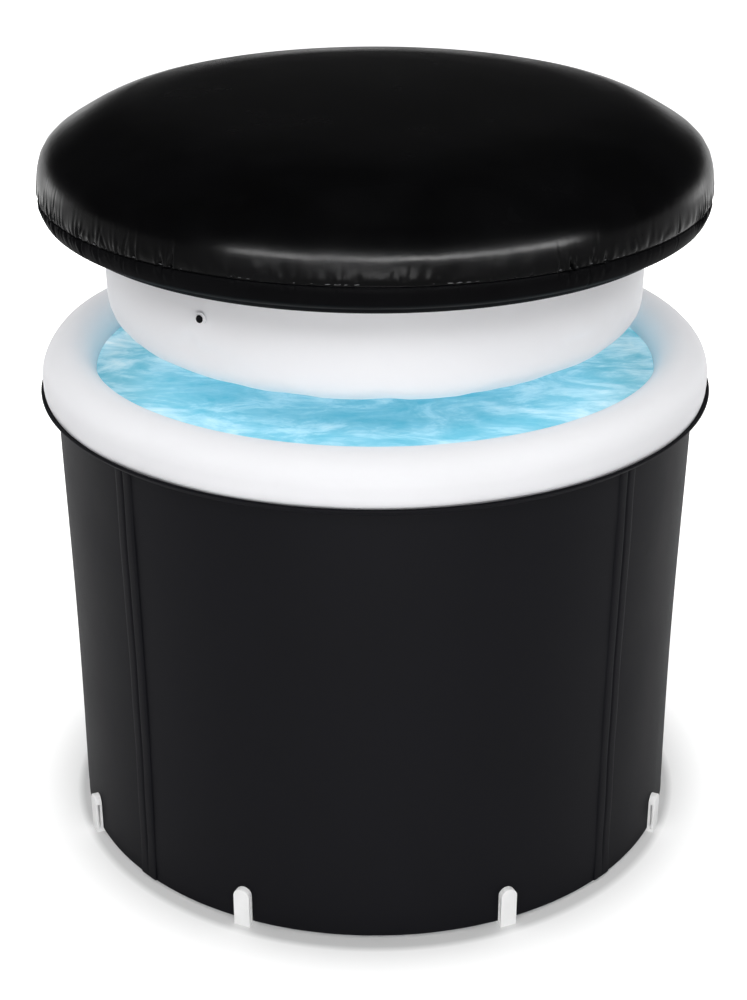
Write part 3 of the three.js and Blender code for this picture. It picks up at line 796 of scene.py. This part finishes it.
def stitch_tree():
    """Node tree that sets stitches of a given size along the edges of its mesh."""
    if "Stitch row" in bpy.data.node_groups:
        return bpy.data.node_groups["Stitch row"]
    tree = bpy.data.node_groups.new("Stitch row", "GeometryNodeTree")
    face = tree.interface
    face.new_socket("Path", in_out="INPUT", socket_type="NodeSocketGeometry")
    for label, kind in (
        ("Count", "NodeSocketInt"), ("Length", "NodeSocketFloat"), ("Thickness", "NodeSocketFloat"),
        ("Lean", "NodeSocketFloat"), ("Seed", "NodeSocketInt"), ("Thread", "NodeSocketMaterial"),
    ):
        face.new_socket(label, in_out="INPUT", socket_type=kind)
    face.new_socket("Stitches", in_out="OUTPUT", socket_type="NodeSocketGeometry")
    nodes = Nodes(tree)
    given = nodes.add("NodeGroupInput").outputs
    curve = nodes.add("GeometryNodeMeshToCurve", {"Mesh": given["Path"]}).outputs["Curve"]
    inputs = {"Curve": curve, "Count": given["Count"]}
    points = nodes.add("GeometryNodeCurveToPoints", inputs, mode="COUNT").outputs
    thick = given["Thickness"]
    size = nodes.add("ShaderNodeCombineXYZ", {"X": thick, "Y": thick, "Z": given["Length"]}).outputs["Vector"]
    ball = nodes.add("GeometryNodeMeshUVSphere", {"Segments": 8, "Rings": 5, "Radius": 0.5}).outputs["Mesh"]
    shaped = nodes.add("GeometryNodeTransform", {"Geometry": ball, "Scale": size}).outputs["Geometry"]

    spread = nodes.add("ShaderNodeCombineXYZ", {"X": given["Lean"], "Y": given["Lean"]}).outputs["Vector"]
    low = nodes.add("ShaderNodeVectorMath", {0: spread, "Scale": -1.0}, operation="SCALE").outputs["Vector"]
    inputs = {"Min": low, "Max": spread, "Seed": given["Seed"]}
    tilt = nodes.add("FunctionNodeRandomValue", inputs, data_type="FLOAT_VECTOR").outputs["Value"]
    angles = nodes.add("FunctionNodeEulerToRotation", {"Euler": tilt}).outputs["Rotation"]
    inputs = {"Rotation": points["Rotation"], "Rotate By": angles}
    turn = nodes.add("FunctionNodeRotateRotation", inputs, rotation_space="LOCAL").outputs["Rotation"]
    inputs = {2: 0.82, 3: 1.12, "Seed": given["Seed"]}
    grow = nodes.add("FunctionNodeRandomValue", inputs, data_type="FLOAT").outputs[1]

    inputs = {"Points": points["Points"], "Instance": shaped, "Rotation": turn, "Scale": grow}
    copies = nodes.add("GeometryNodeInstanceOnPoints", inputs).outputs["Instances"]
    real = nodes.add("GeometryNodeRealizeInstances", {"Geometry": copies}).outputs["Geometry"]
    inputs = {"Geometry": real, "Material": given["Thread"]}
    thread = nodes.add("GeometryNodeSetMaterial", inputs).outputs["Geometry"]
    nodes.add("NodeGroupOutput", {"Stitches": thread})
    return tree


def stitch_row(name, path, pitch, size, thickness, lean, seed, material):
    """Stitches along a closed path of points, as one plain mesh."""
    total = float(np.linalg.norm(path - np.roll(path, -1, axis=0), axis=1).sum())
    mesh = bpy.data.meshes.new(name)
    corners = len(path)
    mesh.from_pydata(path.tolist(), [(k, (k + 1) % corners) for k in range(corners)], [])
    piece = link(mesh)
    tree = stitch_tree()
    row = piece.modifiers.new("stitches", "NODES")
    row.node_group = tree
    values = {
        "Count": round(total / pitch), "Length": size, "Thickness": thickness,
        "Lean": lean, "Seed": seed, "Thread": material,
    }
    for item in tree.interface.items_tree:
        if item.name in values:
            row[item.identifier] = values[item.name]
    piece = applied(piece)
    piece.data.shade_smooth()
    return piece


# Operators

class TUB_OT_wall(bpy.types.Operator):
    """Make the cloth wall: panels, seam strips, collar and piping"""
    bl_idname = "tub.make_wall"
    bl_label = "Wall"

    def execute(self, context):
        wall = context.scene.tub.wall
        seams = sorted(bearing(strip) % FULL_TURN for strip in SEAM_STRIPS)
        strip_half = np.ptp(self.strip_angles()) / 2 * wall.strip_spread
        for panel in SHELL_PANELS:
            self.make_panel(panel, wall, seams, strip_half)
        for strip in SEAM_STRIPS:
            self.make_strip(strip, wall, strip_half)
        self.make_collar(context.scene.tub.air)
        return {"FINISHED"}

    @staticmethod
    def strip_angles():
        points = cad_points(SEAM_STRIPS[0])
        return np.unwrap(np.sort(np.arctan2(points[:, 0], -points[:, 1])))

    @staticmethod
    def lean(wall, level):
        """How far the wall stands outside its packed radius: most at the mouth."""
        rise = (level - WALL_LOW) / (WALL_HIGH - WALL_LOW)
        curve = np.polyfit((0, 0.12, 0.3, 0.6, 1), (0, -0.08, -0.18, 0.12, 1), 4)
        return wall.flare * np.polyval(curve, rise)

    @staticmethod
    def make_panel(panel, wall, seams, strip_half):
        """One panel, a little sunk under the strips, with slow waves and a sewn line above its hem."""
        middle = bearing(panel)
        lines = [seam + k * FULL_TURN for seam in seams for k in (-1, 0, 1)]
        before, after = max(x for x in lines if x < middle), min(x for x in lines if x > middle)
        gap = 0.15 * MM / wall.radius
        fine = np.linspace(0, strip_half * 5, 60)
        middle_steps = np.linspace(strip_half * 5, after - before - strip_half * 5, 122)[1:-1]
        angle = before + np.concatenate([fine, middle_steps, after - before - fine[::-1]])
        angle = np.clip(angle, before + gap, after - gap)
        level = np.linspace(WALL_LOW, WALL_HIGH, 64)
        off = np.minimum(angle - before, after - angle) - strip_half
        under = np.where(off < 0, -0.2 * MM, 0.0)
        lean = TUB_OT_wall.lean(wall, level)[:, None]
        rise = (level - WALL_LOW) / (WALL_HIGH - WALL_LOW)
        fade = np.sin(np.clip(rise, 0, 1) * math.pi) ** 0.5
        slow = waves(angle, wall.seed, 2, 9, 3)
        sway = slow[0] * (1 - rise)[:, None] + slow[1] * rise[:, None]
        feet = np.array([bearing(foot) for foot in FEET])
        from_foot = np.abs(np.remainder(angle[:, None] - feet + math.pi, FULL_TURN) - math.pi).min(axis=1)
        clear = np.clip(1 - 1.4 * np.exp(-(from_foot * 12) ** 2), 0, 1)
        radius = wall.radius + under[None, :] + lean
        radius = radius + np.minimum(wall.slack * sway * fade[:, None], 0.9 * MM) * clear[None, :]
        hem = -wall.hem_depth * np.exp(-((level - WALL_LOW - wall.hem_level) / (1.2 * MM)) ** 2)
        radius = radius + hem[:, None]
        inside = np.repeat(wall.radius - wall.thickness + lean[::-1], angle.size, axis=1)
        radius = np.concatenate([radius, inside])
        level = np.concatenate([level, level[::-1]])
        grid = around(radius, angle[None, :], level[:, None])
        mesh = grid_mesh(f"wall_{panel}", grid, loop=True, full=False)
        piece = dressed(mesh, "cloth", "tub", "shell_cloth", panel)

    @staticmethod
    def make_strip(strip, wall, strip_half):
        """Strip over a seam, sewn down along its middle so that either half stands up a little."""
        middle = bearing(strip)
        inside, outside = reach(strip)
        even = np.linspace(-1, 1, 61)
        across = np.sign(even) * np.abs(even) ** 1.5
        angle = middle + strip_half * across
        level = np.linspace(WALL_LOW, WALL_HIGH, 64)
        halves = wall.strip_rise * np.sin(math.pi * np.abs(across)) ** 0.35
        halves = halves - 1.2 * MM * np.abs(across) ** 12
        sewn = -wall.strip_groove * np.exp(-(across * strip_half * wall.radius / (1.8 * MM)) ** 2)
        lean = TUB_OT_wall.lean(wall, level)[:, None]
        flat = np.clip((level - WALL_LOW) / (60 * MM), 0.1, 1)[:, None]
        outer = outside + (halves + sewn)[None, :] * flat + lean
        outer = outer + 0.25 * MM * waves(level * 9, wall.seed + 4, 1, 5)[0][:, None]
        inner = np.repeat(inside + lean[::-1], angle.size, axis=1)
        grid = around(
            np.concatenate([outer, inner]), angle[None, :], np.concatenate([level, level[::-1]])[:, None],
        )
        mesh = grid_mesh(f"wall_{strip}", grid, loop=True, full=False)
        dressed(mesh, "cloth", "tub", "shell_cloth", strip)

    @staticmethod
    def make_collar(air):
        """Collar that cups the air ring up to the piping on its edge."""
        centre = (RING_LOW + RING_HIGH) / 2
        low, high = levels("rim_piping")
        gap, thick = 0.3 * MM, 2 * MM
        drops = np.array([centre - levels("rim_collar")[0], centre - (low + high) / 2])
        ends = -np.arcsin(np.minimum(1, drops / (air.ring_half_height + gap)) ** (air.ring_fullness / 2))
        half = (high - low) / 2
        cord = (reach("rim_piping")[1] - half + 1.5 * MM, (low + high) / 2)
        profile = np.concatenate([
            ring_outline(air, 24, gap + thick, *ends), [cord], ring_outline(air, 24, gap, *ends[::-1]),
        ])
        ring = oval_arc(cord, half, half, 0, FULL_TURN, 14)[:-1]
        for name, line, node in (
            ("rim_collar_band", profile, "rim_collar"), ("rim_piping_cord", ring, "rim_piping"),
        ):
            dressed(turned_mesh(name, line, 288, loop=True), "cloth", "tub", "shell_cloth", node)


class TUB_OT_air_ring(bpy.types.Operator):
    """Make the air ring round the tub's mouth, swollen by a cloth simulation"""
    bl_idname = "tub.make_air_ring"
    bl_label = "Air ring"

    def execute(self, context):
        air = context.scene.tub.air
        middle = (RING_LOW + RING_HIGH) / 2
        rows, columns = 36, 192
        shape = ring_outline(air, rows)[:-1]
        start = spun(shape, turns(columns))
        below = [k for k, (_, level) in enumerate(shape) if level < middle - 0.35 * air.ring_half_height]
        field = puffed(start, (None, None), below, air.pressure, air.ring_swell, loop=True)
        field = np.concatenate([field, field[:1]])
        fine_rows, fine_columns = 72, 384
        profile = ring_outline(air, fine_rows)[:-1]
        place = np.arange(fine_rows) / fine_rows
        field = finer(field, np.arange(rows + 1) / rows, place, fine_columns)
        angle = turns(fine_columns)
        sway = waves(angle, 21, 5, 16)[0] * np.sin(place * math.pi)[:, None] ** 2
        field[..., 0] += air.ring_wave * sway
        mesh = grid_mesh("air_ring_skin", moved_grid(profile, angle, field), loop=True)
        piece = dressed(mesh, "vinyl", "tub", "white_vinyl", "top_ring")
        return {"FINISHED"}


class TUB_OT_cushion(bpy.types.Operator):
    """Make the air cushion under the lid, swollen by a cloth simulation"""
    bl_idname = "tub.make_cushion"
    bl_label = "Air cushion"

    def execute(self, context):
        air = context.scene.tub.air
        low, high, radius = CUSHION_LOW, CUSHION_HIGH, air.cushion_radius
        lower, upper = air.lower_width, air.upper_width
        edge, rise = low + air.cushion_belly + air.lower_height, high - air.upper_height
        quarter = math.pi / 2
        flat = np.linspace(HUB, radius - lower, 12)[:-1]
        belly = low + air.cushion_belly * (flat / (radius - lower)) ** 2
        top = np.linspace(radius - upper, HUB, 16)[1:]
        shape = np.concatenate([
            np.stack([flat, belly], -1),
            squared_arc((radius - lower, edge), lower, air.lower_height, -quarter, 0, 30,
                        lambda angle: np.full(angle.size, air.lower_fullness)),
            oval_arc((radius - upper, rise), upper, air.upper_height, 0, quarter, 30),
            np.stack([top, np.full(top.size, high)], -1),
        ])
        along = lengths_along(shape)
        coarse = at_lengths(shape, along, np.linspace(0, along[-1], 64))
        columns = 160
        start = spun(coarse, turns(columns))
        held = [k for k, (r, z) in enumerate(coarse) if z > high - 1.0 * MM]
        field = puffed(start, (low, high), held, air.pressure * 0.5, air.swell)
        rows, fine_columns = 150, 440
        wanted = np.linspace(0, along[-1], rows)
        profile = at_lengths(shape, along, wanted)
        field = finer(field, np.linspace(0, along[-1], 64), wanted, fine_columns)
        angle = turns(fine_columns)
        loose = np.clip((profile[:, 0] - 0.3) / 0.06, 0, 1)
        loose = loose * np.clip((high - 4 * MM - profile[:, 1]) / 0.02, 0, 1)
        field[..., 0] += air.cushion_wave * waves(angle, 31, 3, 12)[0] * loose[:, None]
        level = sum(levels("cushion_valve_body")) / 2
        from_valve = np.hypot((angle[None, :] - bearing("cushion_valve_body") % FULL_TURN) * radius,
                              profile[:, 1:] - level)
        seat = np.exp(-(from_valve / air.valve_seat) ** 2) * (profile[:, :1] > 0.3)
        field *= 1 - seat[..., None]
        field[..., 0] += (reach("air_cushion")[1] - radius) * seat
        mesh = grid_mesh("air_cushion_skin", moved_grid(profile, angle, field), poles=(low, high))
        piece = dressed(mesh, "vinyl", "cushion", "white_vinyl", "air_cushion")
        return {"FINISHED"}


class TUB_OT_lid(bpy.types.Operator):
    """Make the padded lid: cover, band, underside, welt and stitches"""
    bl_idname = "tub.make_lid"
    bl_label = "Padded lid"
    columns = 2160

    def execute(self, context):
        lid = context.scene.tub.lid
        shape, along, seam, hem = self.outline(lid)
        field, coarse = self.simulate(lid, shape, along, seam, hem)
        angle = turns(self.columns)
        near = np.concatenate([np.linspace(1.2, 30, 20), np.linspace(34, 150, 11)]) * MM
        rest = np.linspace(seam + 0.17, along[-1], 7)
        wanted = np.concatenate([seam + near, rest])
        outside = self.skin(lid, shape, along, wanted, seam, field, coarse, angle)
        pinch = at_lengths(shape, along, np.array([seam + 1.2 * MM]))
        inner = at_lengths(shape, along, np.linspace(along[-1], seam + 3 * MM, 5))
        inner = inner - lid.cover * outward(inner[::-1])[::-1]
        inner[:, 0] = np.clip(inner[:, 0], HUB, pinch[0, 0] - lid.cover)
        top = float(outside[-1, :, 2].mean())
        grid = np.concatenate([spun(inner, angle), outside])
        mesh = grid_mesh("lid_cover_padded", grid, poles=(top - lid.cover, top))
        piece = dressed(mesh, "leather", "lid", "lid_leather", "lid_top_cover", "lid_core")

        wanted = np.concatenate([np.linspace(hem, seam - 30 * MM, 10)[:-1], seam - near[:19][::-1]])
        outside = self.skin(lid, shape, along, wanted, seam, field, coarse, angle)
        inner = at_lengths(shape, along, np.linspace(seam - 4 * MM, hem, 8))
        inner = inner - lid.cover * outward(inner[::-1])[::-1]
        grid = np.concatenate([outside, spun(inner, angle)])
        mesh = grid_mesh("lid_band_gathered", grid, loop=True)
        dressed(mesh, "band", "lid", "lid_leather", "lid_side_band")

        self.make_underside()
        self.make_seam(lid)
        return {"FINISHED"}

    @staticmethod
    def outline(lid):
        """Profile from the middle of the underside, round the edge, to the middle of the top."""
        rim = lid.radius
        shoulder = LID_HIGH - lid.crown + 2 * MM
        hem_radius = rim - lid.tuck
        drop = lid.seam - LID_LOW - lid.hem
        under = np.stack([np.linspace(HUB, hem_radius - lid.hem, 20), np.full(20, LID_LOW)], -1)
        foot = oval_arc((hem_radius, lid.seam), lid.tuck, drop, -1.25, 0, 30)
        t = np.linspace(0, 1, 12)[1:-1, None]
        a, b, c = under[-1], np.array([hem_radius, LID_LOW]), foot[0]
        turn_up = (1 - t) ** 2 * a + 2 * t * (1 - t) * b + t ** 2 * c
        dome = oval_arc((rim - lid.round, lid.seam), lid.round, shoulder - lid.seam, 0, math.pi / 2, 60)
        flat = np.linspace(rim - lid.round, HUB, 30)[1:]
        top = np.stack([flat, shoulder + lid.crown * (1 - (flat / (rim - lid.round)) ** 2)], -1)
        shape = np.concatenate([under, turn_up, foot, dome[1:], top])
        along = lengths_along(shape)
        return shape, along, along[len(under) + len(turn_up) + len(foot) - 1], along[len(under) - 1]

    @staticmethod
    def simulate(lid, shape, along, seam, hem):
        """Swells the closed lid between its sewn lines, with spare leather gathered at the seam."""
        columns = 360
        coarse = np.concatenate([
            np.linspace(0, hem, 6)[:-1], np.linspace(hem, seam, 10),
            np.linspace(seam, seam + 0.15, 20)[1:], np.linspace(seam + 0.15, along[-1], 16)[1:],
        ])
        profile = at_lengths(shape, along, coarse)
        angle = turns(columns)
        seam_row = int(np.argmin(np.abs(coarse - seam)))
        grid = spun(profile, angle)
        noise = waves(angle, lid.seed, 8, 60, len(coarse))
        grid[..., 2] += 0.25 * MM * noise * (np.abs(np.arange(len(coarse)) - seam_row) > 0)[:, None]
        gathered = np.exp(-((coarse - seam) / 0.035) ** 2)
        held = [*range(0, 6), seam_row]
        field = puffed(
            grid, (LID_LOW, LID_HIGH), held, lid.pressure, lid.swell,
            gathered=gathered, slackness=lid.slackness, frames=20,
        )
        return field, coarse

    @staticmethod
    def skin(lid, shape, along, wanted, seam, field, coarse, angle):
        """Outside of the leather at wanted distances, with its gathers, groove and puckers."""
        profile = at_lengths(shape, along, wanted)
        moved = finer(field, coarse, wanted, angle.size)
        away = wanted - seam
        moved = (moved - moved.mean(axis=1, keepdims=True)) * np.exp(-(away / (38 * MM)) ** 2)[:, None, None]
        fold = TUB_OT_lid.puckers(lid, away, angle)
        free = np.clip((away + 44 * MM) / (20 * MM), 0, 1)
        fold += (lid.roll * free * np.exp(-(away / lid.roll_width) ** 2))[:, None]
        fold += lid.shoulder * np.exp(-((away - lid.shoulder_place) / lid.shoulder_width) ** 2)[:, None]
        fold -= lid.groove * np.exp(-(np.abs(away) / lid.groove_width) ** 1.4)[:, None]
        normal = outward(profile)
        moved[..., 0] += fold * normal[:, :1]
        moved[..., 2] += fold * normal[:, 1:]
        return moved_grid(profile, angle, moved)

    @staticmethod
    def puckers(lid, away, angle):
        """Small creases that run up and down from the seam, closer together in some places."""
        rng = np.random.default_rng(lid.seed)
        busy = (
            (-1.15, 0.28, 1.5), (-0.7, 0.3, 0.8), (1.2, 0.2, 1.2), (0.58, 0.14, 1.2),
            (2.6, 0.5, 0.8), (-2.3, 0.4, 0.8),
        )
        fold = np.zeros((away.size, angle.size))
        made = 0
        while made < lid.puckers:
            middle = rng.uniform(-math.pi, math.pi)
            weight = 0.45 + sum(h * math.exp(-((middle - m) / w) ** 2) for m, w, h in busy)
            keep = rng.uniform(0, 2)
            depth = lid.pucker_depth * rng.uniform(0.2, 1.0) ** 1.5 * min(1.0, max(0.25, weight - 0.3))
            half = rng.uniform(1.7, 3.6) * MM
            up, down = rng.uniform(6, 20) * MM, rng.uniform(4, 14) * MM
            lean = rng.normal(0, 0.16)
            if keep > weight:
                continue
            made += 1
            fall = np.where(away > 0, np.abs(away) / up, np.abs(away) / down)
            fade = np.exp(-fall ** 1.6)
            off = np.remainder(angle - middle + math.pi, FULL_TURN) - math.pi
            local = np.abs(off) < 0.12
            arc = off[local][None, :] * lid.radius - lean * away[:, None]
            wave = -np.exp(-(arc / half) ** 2) + 0.45 * np.exp(-((np.abs(arc) - 2 * half) / half) ** 2)
            fold[:, local] += depth * fade[:, None] * wave
        return fold

    @staticmethod
    def make_underside():
        """Flat cloth panel that closes the lid below."""
        radius = reach("lid_bottom_panel")[1]
        bottom, top = levels("lid_bottom_panel")
        flat = np.linspace(HUB, radius - 1 * MM, 8)
        profile = np.concatenate([
            np.stack([flat, np.full(8, bottom)], -1), [[radius, bottom + 0.6 * MM], [radius, top - 0.6 * MM]],
            np.stack([flat[::-1], np.full(8, top)], -1),
        ])
        mesh = turned_mesh("lid_underside", profile, 192, poles=(bottom, top))
        dressed(mesh, "cloth", "lid", "shell_cloth", "lid_bottom_panel")

    @staticmethod
    def make_seam(lid):
        """Welt sewn into the seam and the row of stitches above it."""
        half = (levels("lid_seam_welt")[1] - levels("lid_seam_welt")[0]) / 2 * 0.75
        centre = (lid.radius + lid.welt_out, lid.seam)
        ring = oval_arc(centre, half, half, 0, FULL_TURN, 10)[:-1]
        mesh = turned_mesh("lid_welt_cord", ring, 480, loop=True)
        dressed(mesh, "leather", "lid", "lid_leather", "lid_seam_welt")
        round_it = turns(960)
        path = around(
            lid.radius + lid.stitch_out + 0.3 * MM * waves(round_it, lid.seed + 2, 9, 40)[0], round_it,
            lid.seam + lid.stitch_rise + 0.35 * MM * waves(round_it, lid.seed + 1, 9, 40)[0],
        )
        piece = stitch_row(
            "lid_stitches", path, lid.stitch_pitch, lid.stitch_length, lid.stitch_thickness,
            0.12, lid.seed, finish_of("thread"),
        )
        carried(piece, "lid", "lid_leather")


class TUB_OT_feet(bpy.types.Operator):
    """Make the clip feet with softened edges"""
    bl_idname = "tub.make_feet"
    bl_label = "Clip feet"

    def execute(self, context):
        for foot in FEET:
            piece = refined(foot, f"clip_{foot}", "plastic", bevel=0.9 * MM, segments=3)
            carried(piece, "tub", "foot_plastic", foot)
        return {"FINISHED"}


class TUB_OT_fittings(bpy.types.Operator):
    """Make the drain and the two plug valves with round, softened edges"""
    bl_idname = "tub.make_fittings"
    bl_label = "Drain and valves"

    def execute(self, context):
        joints = {joint["name"]: joint for joint in frame["joints"]}
        back = joints["ring_stopper_pull"]["axis"]
        slant = joints["cushion_stopper_pull"]["axis"]
        for node, body, slot, finish, axis in (
            ("drain_body", "tub", "black_plastic", "dark_plastic", back),
            ("drain_gasket", "tub", "black_rubber", "rubber", back),
            ("ring_valve_body", "tub", "foot_plastic", "plastic", back),
            ("ring_valve_stopper", "ring_stopper", "black_plastic", "stopper", back),
            ("cushion_valve_body", "cushion", "foot_plastic", "vinyl", slant),
            ("cushion_valve_stopper", "cushion_stopper", "black_plastic", "stopper", slant),
        ):
            low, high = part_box(node)
            piece = turned_copy(node, f"{node}_turned", finish, (low + high) / 2, axis)
            carried(piece, body, slot, node)
        for node, body in (("drain_nut", "tub"), ("drain_cap", "drain_cap")):
            piece = refined(node, f"{node}_moulded", "dark_plastic", bevel=0.5 * MM)
            carried(piece, body, "black_plastic", node)
        return {"FINISHED"}


class TUB_OT_inside(bpy.types.Operator):
    """Give the liner, foam, rods and base sheet their finishes"""
    bl_idname = "tub.finish_inside"
    bl_label = "Inside layers"

    def execute(self, context):
        layers = {"inner_liner": "vinyl", "base_sheet": "cloth", "floor_foam": "foam"}
        layers.update({node: "foam" for node in FOAMS})
        layers.update({node: "rod" for node in RODS})
        for node, finish in layers.items():
            for place in frame["nodes"][node].material_slots:
                place.material = finish_of(finish)
        return {"FINISHED"}


class TUB_OT_water(bpy.types.Operator):
    """Fill the tub with rippled water"""
    bl_idname = "tub.make_water"
    bl_label = "Water"

    def execute(self, context):
        water = context.scene.tub.water
        edge = RING_IN - 0.4 * MM
        liner = min(r for r in [math.hypot(p[0], p[1]) for p in cad_points("inner_liner")] if r > 0.3)
        bottom = levels("inner_liner")[0] + 2.2 * MM
        radius = np.linspace(edge, 0.012, 60)
        angle = turns(240)
        rng = np.random.default_rng(water.seed)
        x, y = radius[:, None] * np.sin(angle), -radius[:, None] * np.cos(angle)
        height = np.zeros_like(x)
        for _ in range(26):
            way, size = rng.uniform(0, FULL_TURN), rng.uniform(0.035, 0.16)
            across = (x * math.cos(way) + y * math.sin(way)) / size
            height += size * np.sin(FULL_TURN * across + rng.uniform(0, FULL_TURN))
        height *= water.ripple / max(1e-9, float(np.abs(height).max()))
        top = np.stack([x, y, water.level + height], -1)
        wall = np.array([
            [HUB, bottom], [liner - 3 * MM, bottom], [liner - 1.5 * MM, bottom + 2 * MM],
            [liner - 1.5 * MM, RING_LOW + 3 * MM], [edge - 0.5 * MM, water.level - 9 * MM],
        ])
        grid = np.concatenate([spun(wall, angle), top])
        mesh = grid_mesh("tub_water", grid, poles=(bottom, float(top[-1, :, 2].mean())))
        dressed(mesh, "water", "tub", "white_vinyl")
        return {"FINISHED"}


class TUB_OT_stage(bpy.types.Operator):
    """Set the floor, the lamps and the camera"""
    bl_idname = "tub.set_stage"
    bl_label = "Studio"
    strip_turns = range(-20, 31, 5)
    strip_level, strip_away, strip_rise = 1.028, 0.5, 0.006
    def execute(self, context):
        scene, stage = context.scene, context.scene.tub.stage
        scene.view_settings.view_transform = "Standard"
        self.make_floor(tuple(context.scene.tub.colours.floor))
        lens = bpy.data.cameras.new("camera")
        lens.sensor_width = 36
        lens.lens = stage.lens
        lens.shift_x = stage.shift
        lens.clip_end = 400
        camera = bpy.data.objects.new("camera", lens)
        camera.location = (0, -stage.camera_distance, stage.camera_height)
        camera.rotation_euler = (math.pi / 2 - stage.camera_pitch, 0, 0)
        scene.collection.objects.link(camera)
        scene.camera = camera
        middle = (0, 0, 0.75)
        self.lamp("overhead", (0, -0.4, 4.0), (0, -0.4, 0), 6.0, 5.4, stage.overhead)
        self.lamp("key", (0, -2.9, 3.3), (0, -0.3, 0.8), 4.0, 1.0, stage.key)
        self.lamp("open", (0, -0.01, 5.0), (0, 0, 0), 1.0, 1.0, stage.open, shadow=False)
        for turn in self.strip_turns:
            edge = around(0.456, math.radians(turn), self.strip_level)
            place = edge + around(self.strip_away, math.radians(2 * turn), self.strip_rise)
            self.lamp(f"strip_{turn}", place, edge, 0.125, 0.044, stage.strips, shine=True, spread=24)
        self.lamp("low", (0, -3.2, 0.4), (0, 0, 0.4), 1.2, 0.45, stage.low, shine=True)
        self.lamp("fill", (0, -3.6, 0.45), (0, 0, 0.55), 5.0, 1.2, stage.fill)
        self.lamp("back", (0, 3.6, 0.9), (0, 0, 0.6), 4.0, 1.2, stage.back)
        for name, side in (("left", -1), ("right", 1)):
            self.lamp(f"{name}_side", (3.1 * side, 1.0, 2.0), middle, 2.4, 2.0, stage.sides)
            self.lamp(f"{name}_edge", (2.3 * side, 1.6, 0.72), middle, 0.7, 0.35, stage.edges, shine=True)
        scene.world = self.make_world(stage.ambient)
        return {"FINISHED"}

    @staticmethod
    def make_world(ambient):
        """Faint light from all round, with a white backdrop that shine sees up to a low height."""
        world = bpy.data.worlds.new("studio")
        world.use_nodes = True
        nodes = Nodes(world.node_tree)
        ray = nodes.add("ShaderNodeLightPath").outputs
        way = nodes.add("ShaderNodeTexCoord").outputs["Generated"]
        up = nodes.add("ShaderNodeSeparateXYZ", {"Vector": way}).outputs["Z"]
        seen = nodes.sum(ray["Is Glossy Ray"], nodes.between(up, 1.0, 0.0, 0.0, 0.06), "MULTIPLY")
        seen = nodes.sum(seen, ray["Is Camera Ray"], "MAXIMUM")
        seen = nodes.sum(seen, ray["Is Transmission Ray"], "MAXIMUM")
        backdrop = world.node_tree.nodes["Background"].inputs
        backdrop["Color"].default_value = (1, 1, 1, 1)
        nodes.join(nodes.sum(seen, ambient, "MAXIMUM"), backdrop["Strength"])
        return world

    @staticmethod
    def lamp(name, place, aim, width, height, power, shine=False, shadow=True, spread=180):
        """A soft lamp that either lights the surfaces or draws their shine."""
        light = bpy.data.lights.new(name, "AREA")
        light.shape = "RECTANGLE"
        light.size, light.size_y, light.energy = width, height, power
        light.use_shadow, light.spread = shadow, math.radians(spread)
        lamp = bpy.data.objects.new(name, light)
        lamp.location = place
        lamp.visible_camera = False
        lamp.visible_glossy, lamp.visible_diffuse = shine, not shine
        lamp.rotation_euler = (Vector(aim) - Vector(place)).to_track_quat("-Z", "Y").to_euler()
        bpy.context.scene.collection.objects.link(lamp)

    @staticmethod
    def make_floor(tint):
        """Wide pale floor that shows the camera a white ground, keeps the real shadow and adds a painted
        shadow band round the tub's base.
        """
        finish = Finish("studio_floor", Roughness=0.9, Specular_IOR_Level=0.05)
        # The glow is held back in a band round the tub's base, set a little off centre, which paints a grey
        # shadow band there on top of the real shadow; further out it rises so the floor shows white.
        place = finish.add(
            "ShaderNodeVectorMath", {0: finish.where.outputs["Object"], 1: (0, 0.012, 0)}, operation="ADD",
        ).outputs["Vector"]
        away = finish.distance(place)
        near = finish.sum(finish.between(away, 0.0, 0.30, 0.455, 0.467),
                          finish.between(away, 0.0, 0.28, 0.467, 0.54))
        lift = finish.sum(near, finish.between(away, 0.0, 0.5, 0.6, 2.5))
        ray = finish.add("ShaderNodeLightPath").outputs
        seen = finish.sum(ray["Is Camera Ray"], ray["Is Glossy Ray"], "MAXIMUM")
        seen = finish.sum(seen, ray["Is Transmission Ray"], "MAXIMUM")
        speckle = finish.noise(40.0, 2.0)
        finish.shader.inputs["Emission Color"].default_value = (1, 1, 1, 1)
        material = finish.use(
            Base_Color=finish.ramp(speckle, (0.0, tone(tint, 0.995)), (1.0, tint)),
            Emission_Strength=finish.sum(lift, seen, "MULTIPLY"),
        )
        level = -0.2 * MM
        profile = np.array([[radius, level] for radius in (0.3, 1.5, 6.0, 30.0, 150.0)])
        mesh = turned_mesh("floor", profile, 64, poles=(level, None))
        if mesh.polygons[0].normal.z < 0:
            mesh.flip_normals()
        mesh.materials.append(material)
        link(mesh)


class TUB_PT_panel(bpy.types.Panel):
    """Lists the tub's operators"""
    bl_idname = "TUB_PT_panel"
    bl_label = "Cold plunge tub"
    bl_space_type = "VIEW_3D"
    bl_region_type = "UI"
    bl_category = "Tub"

    def draw(self, context):
        for operator in OPERATORS:
            self.layout.operator(operator.bl_idname)


OPERATORS = (
    TUB_OT_stage, TUB_OT_wall, TUB_OT_inside, TUB_OT_feet, TUB_OT_fittings,
    TUB_OT_water, TUB_OT_air_ring, TUB_OT_cushion, TUB_OT_lid,
)
CLASSES = (
    TubWallSettings, TubAirSettings, TubLidSettings, TubWaterSettings, TubColourSettings,
    TubStageSettings, TubSettings, *OPERATORS, TUB_PT_panel,
)


def register():
    for kind in CLASSES:
        bpy.utils.register_class(kind)
    bpy.types.Scene.tub = PointerProperty(type=TubSettings, name="Tub", description="Cold plunge tub")


def unregister():
    del bpy.types.Scene.tub
    for kind in reversed(CLASSES):
        bpy.utils.unregister_class(kind)


def main():
    register()
    for operator in OPERATORS:
        group, call = operator.bl_idname.split(".")
        getattr(getattr(bpy.ops, group), call)()


if __name__ == "__main__":
    main()
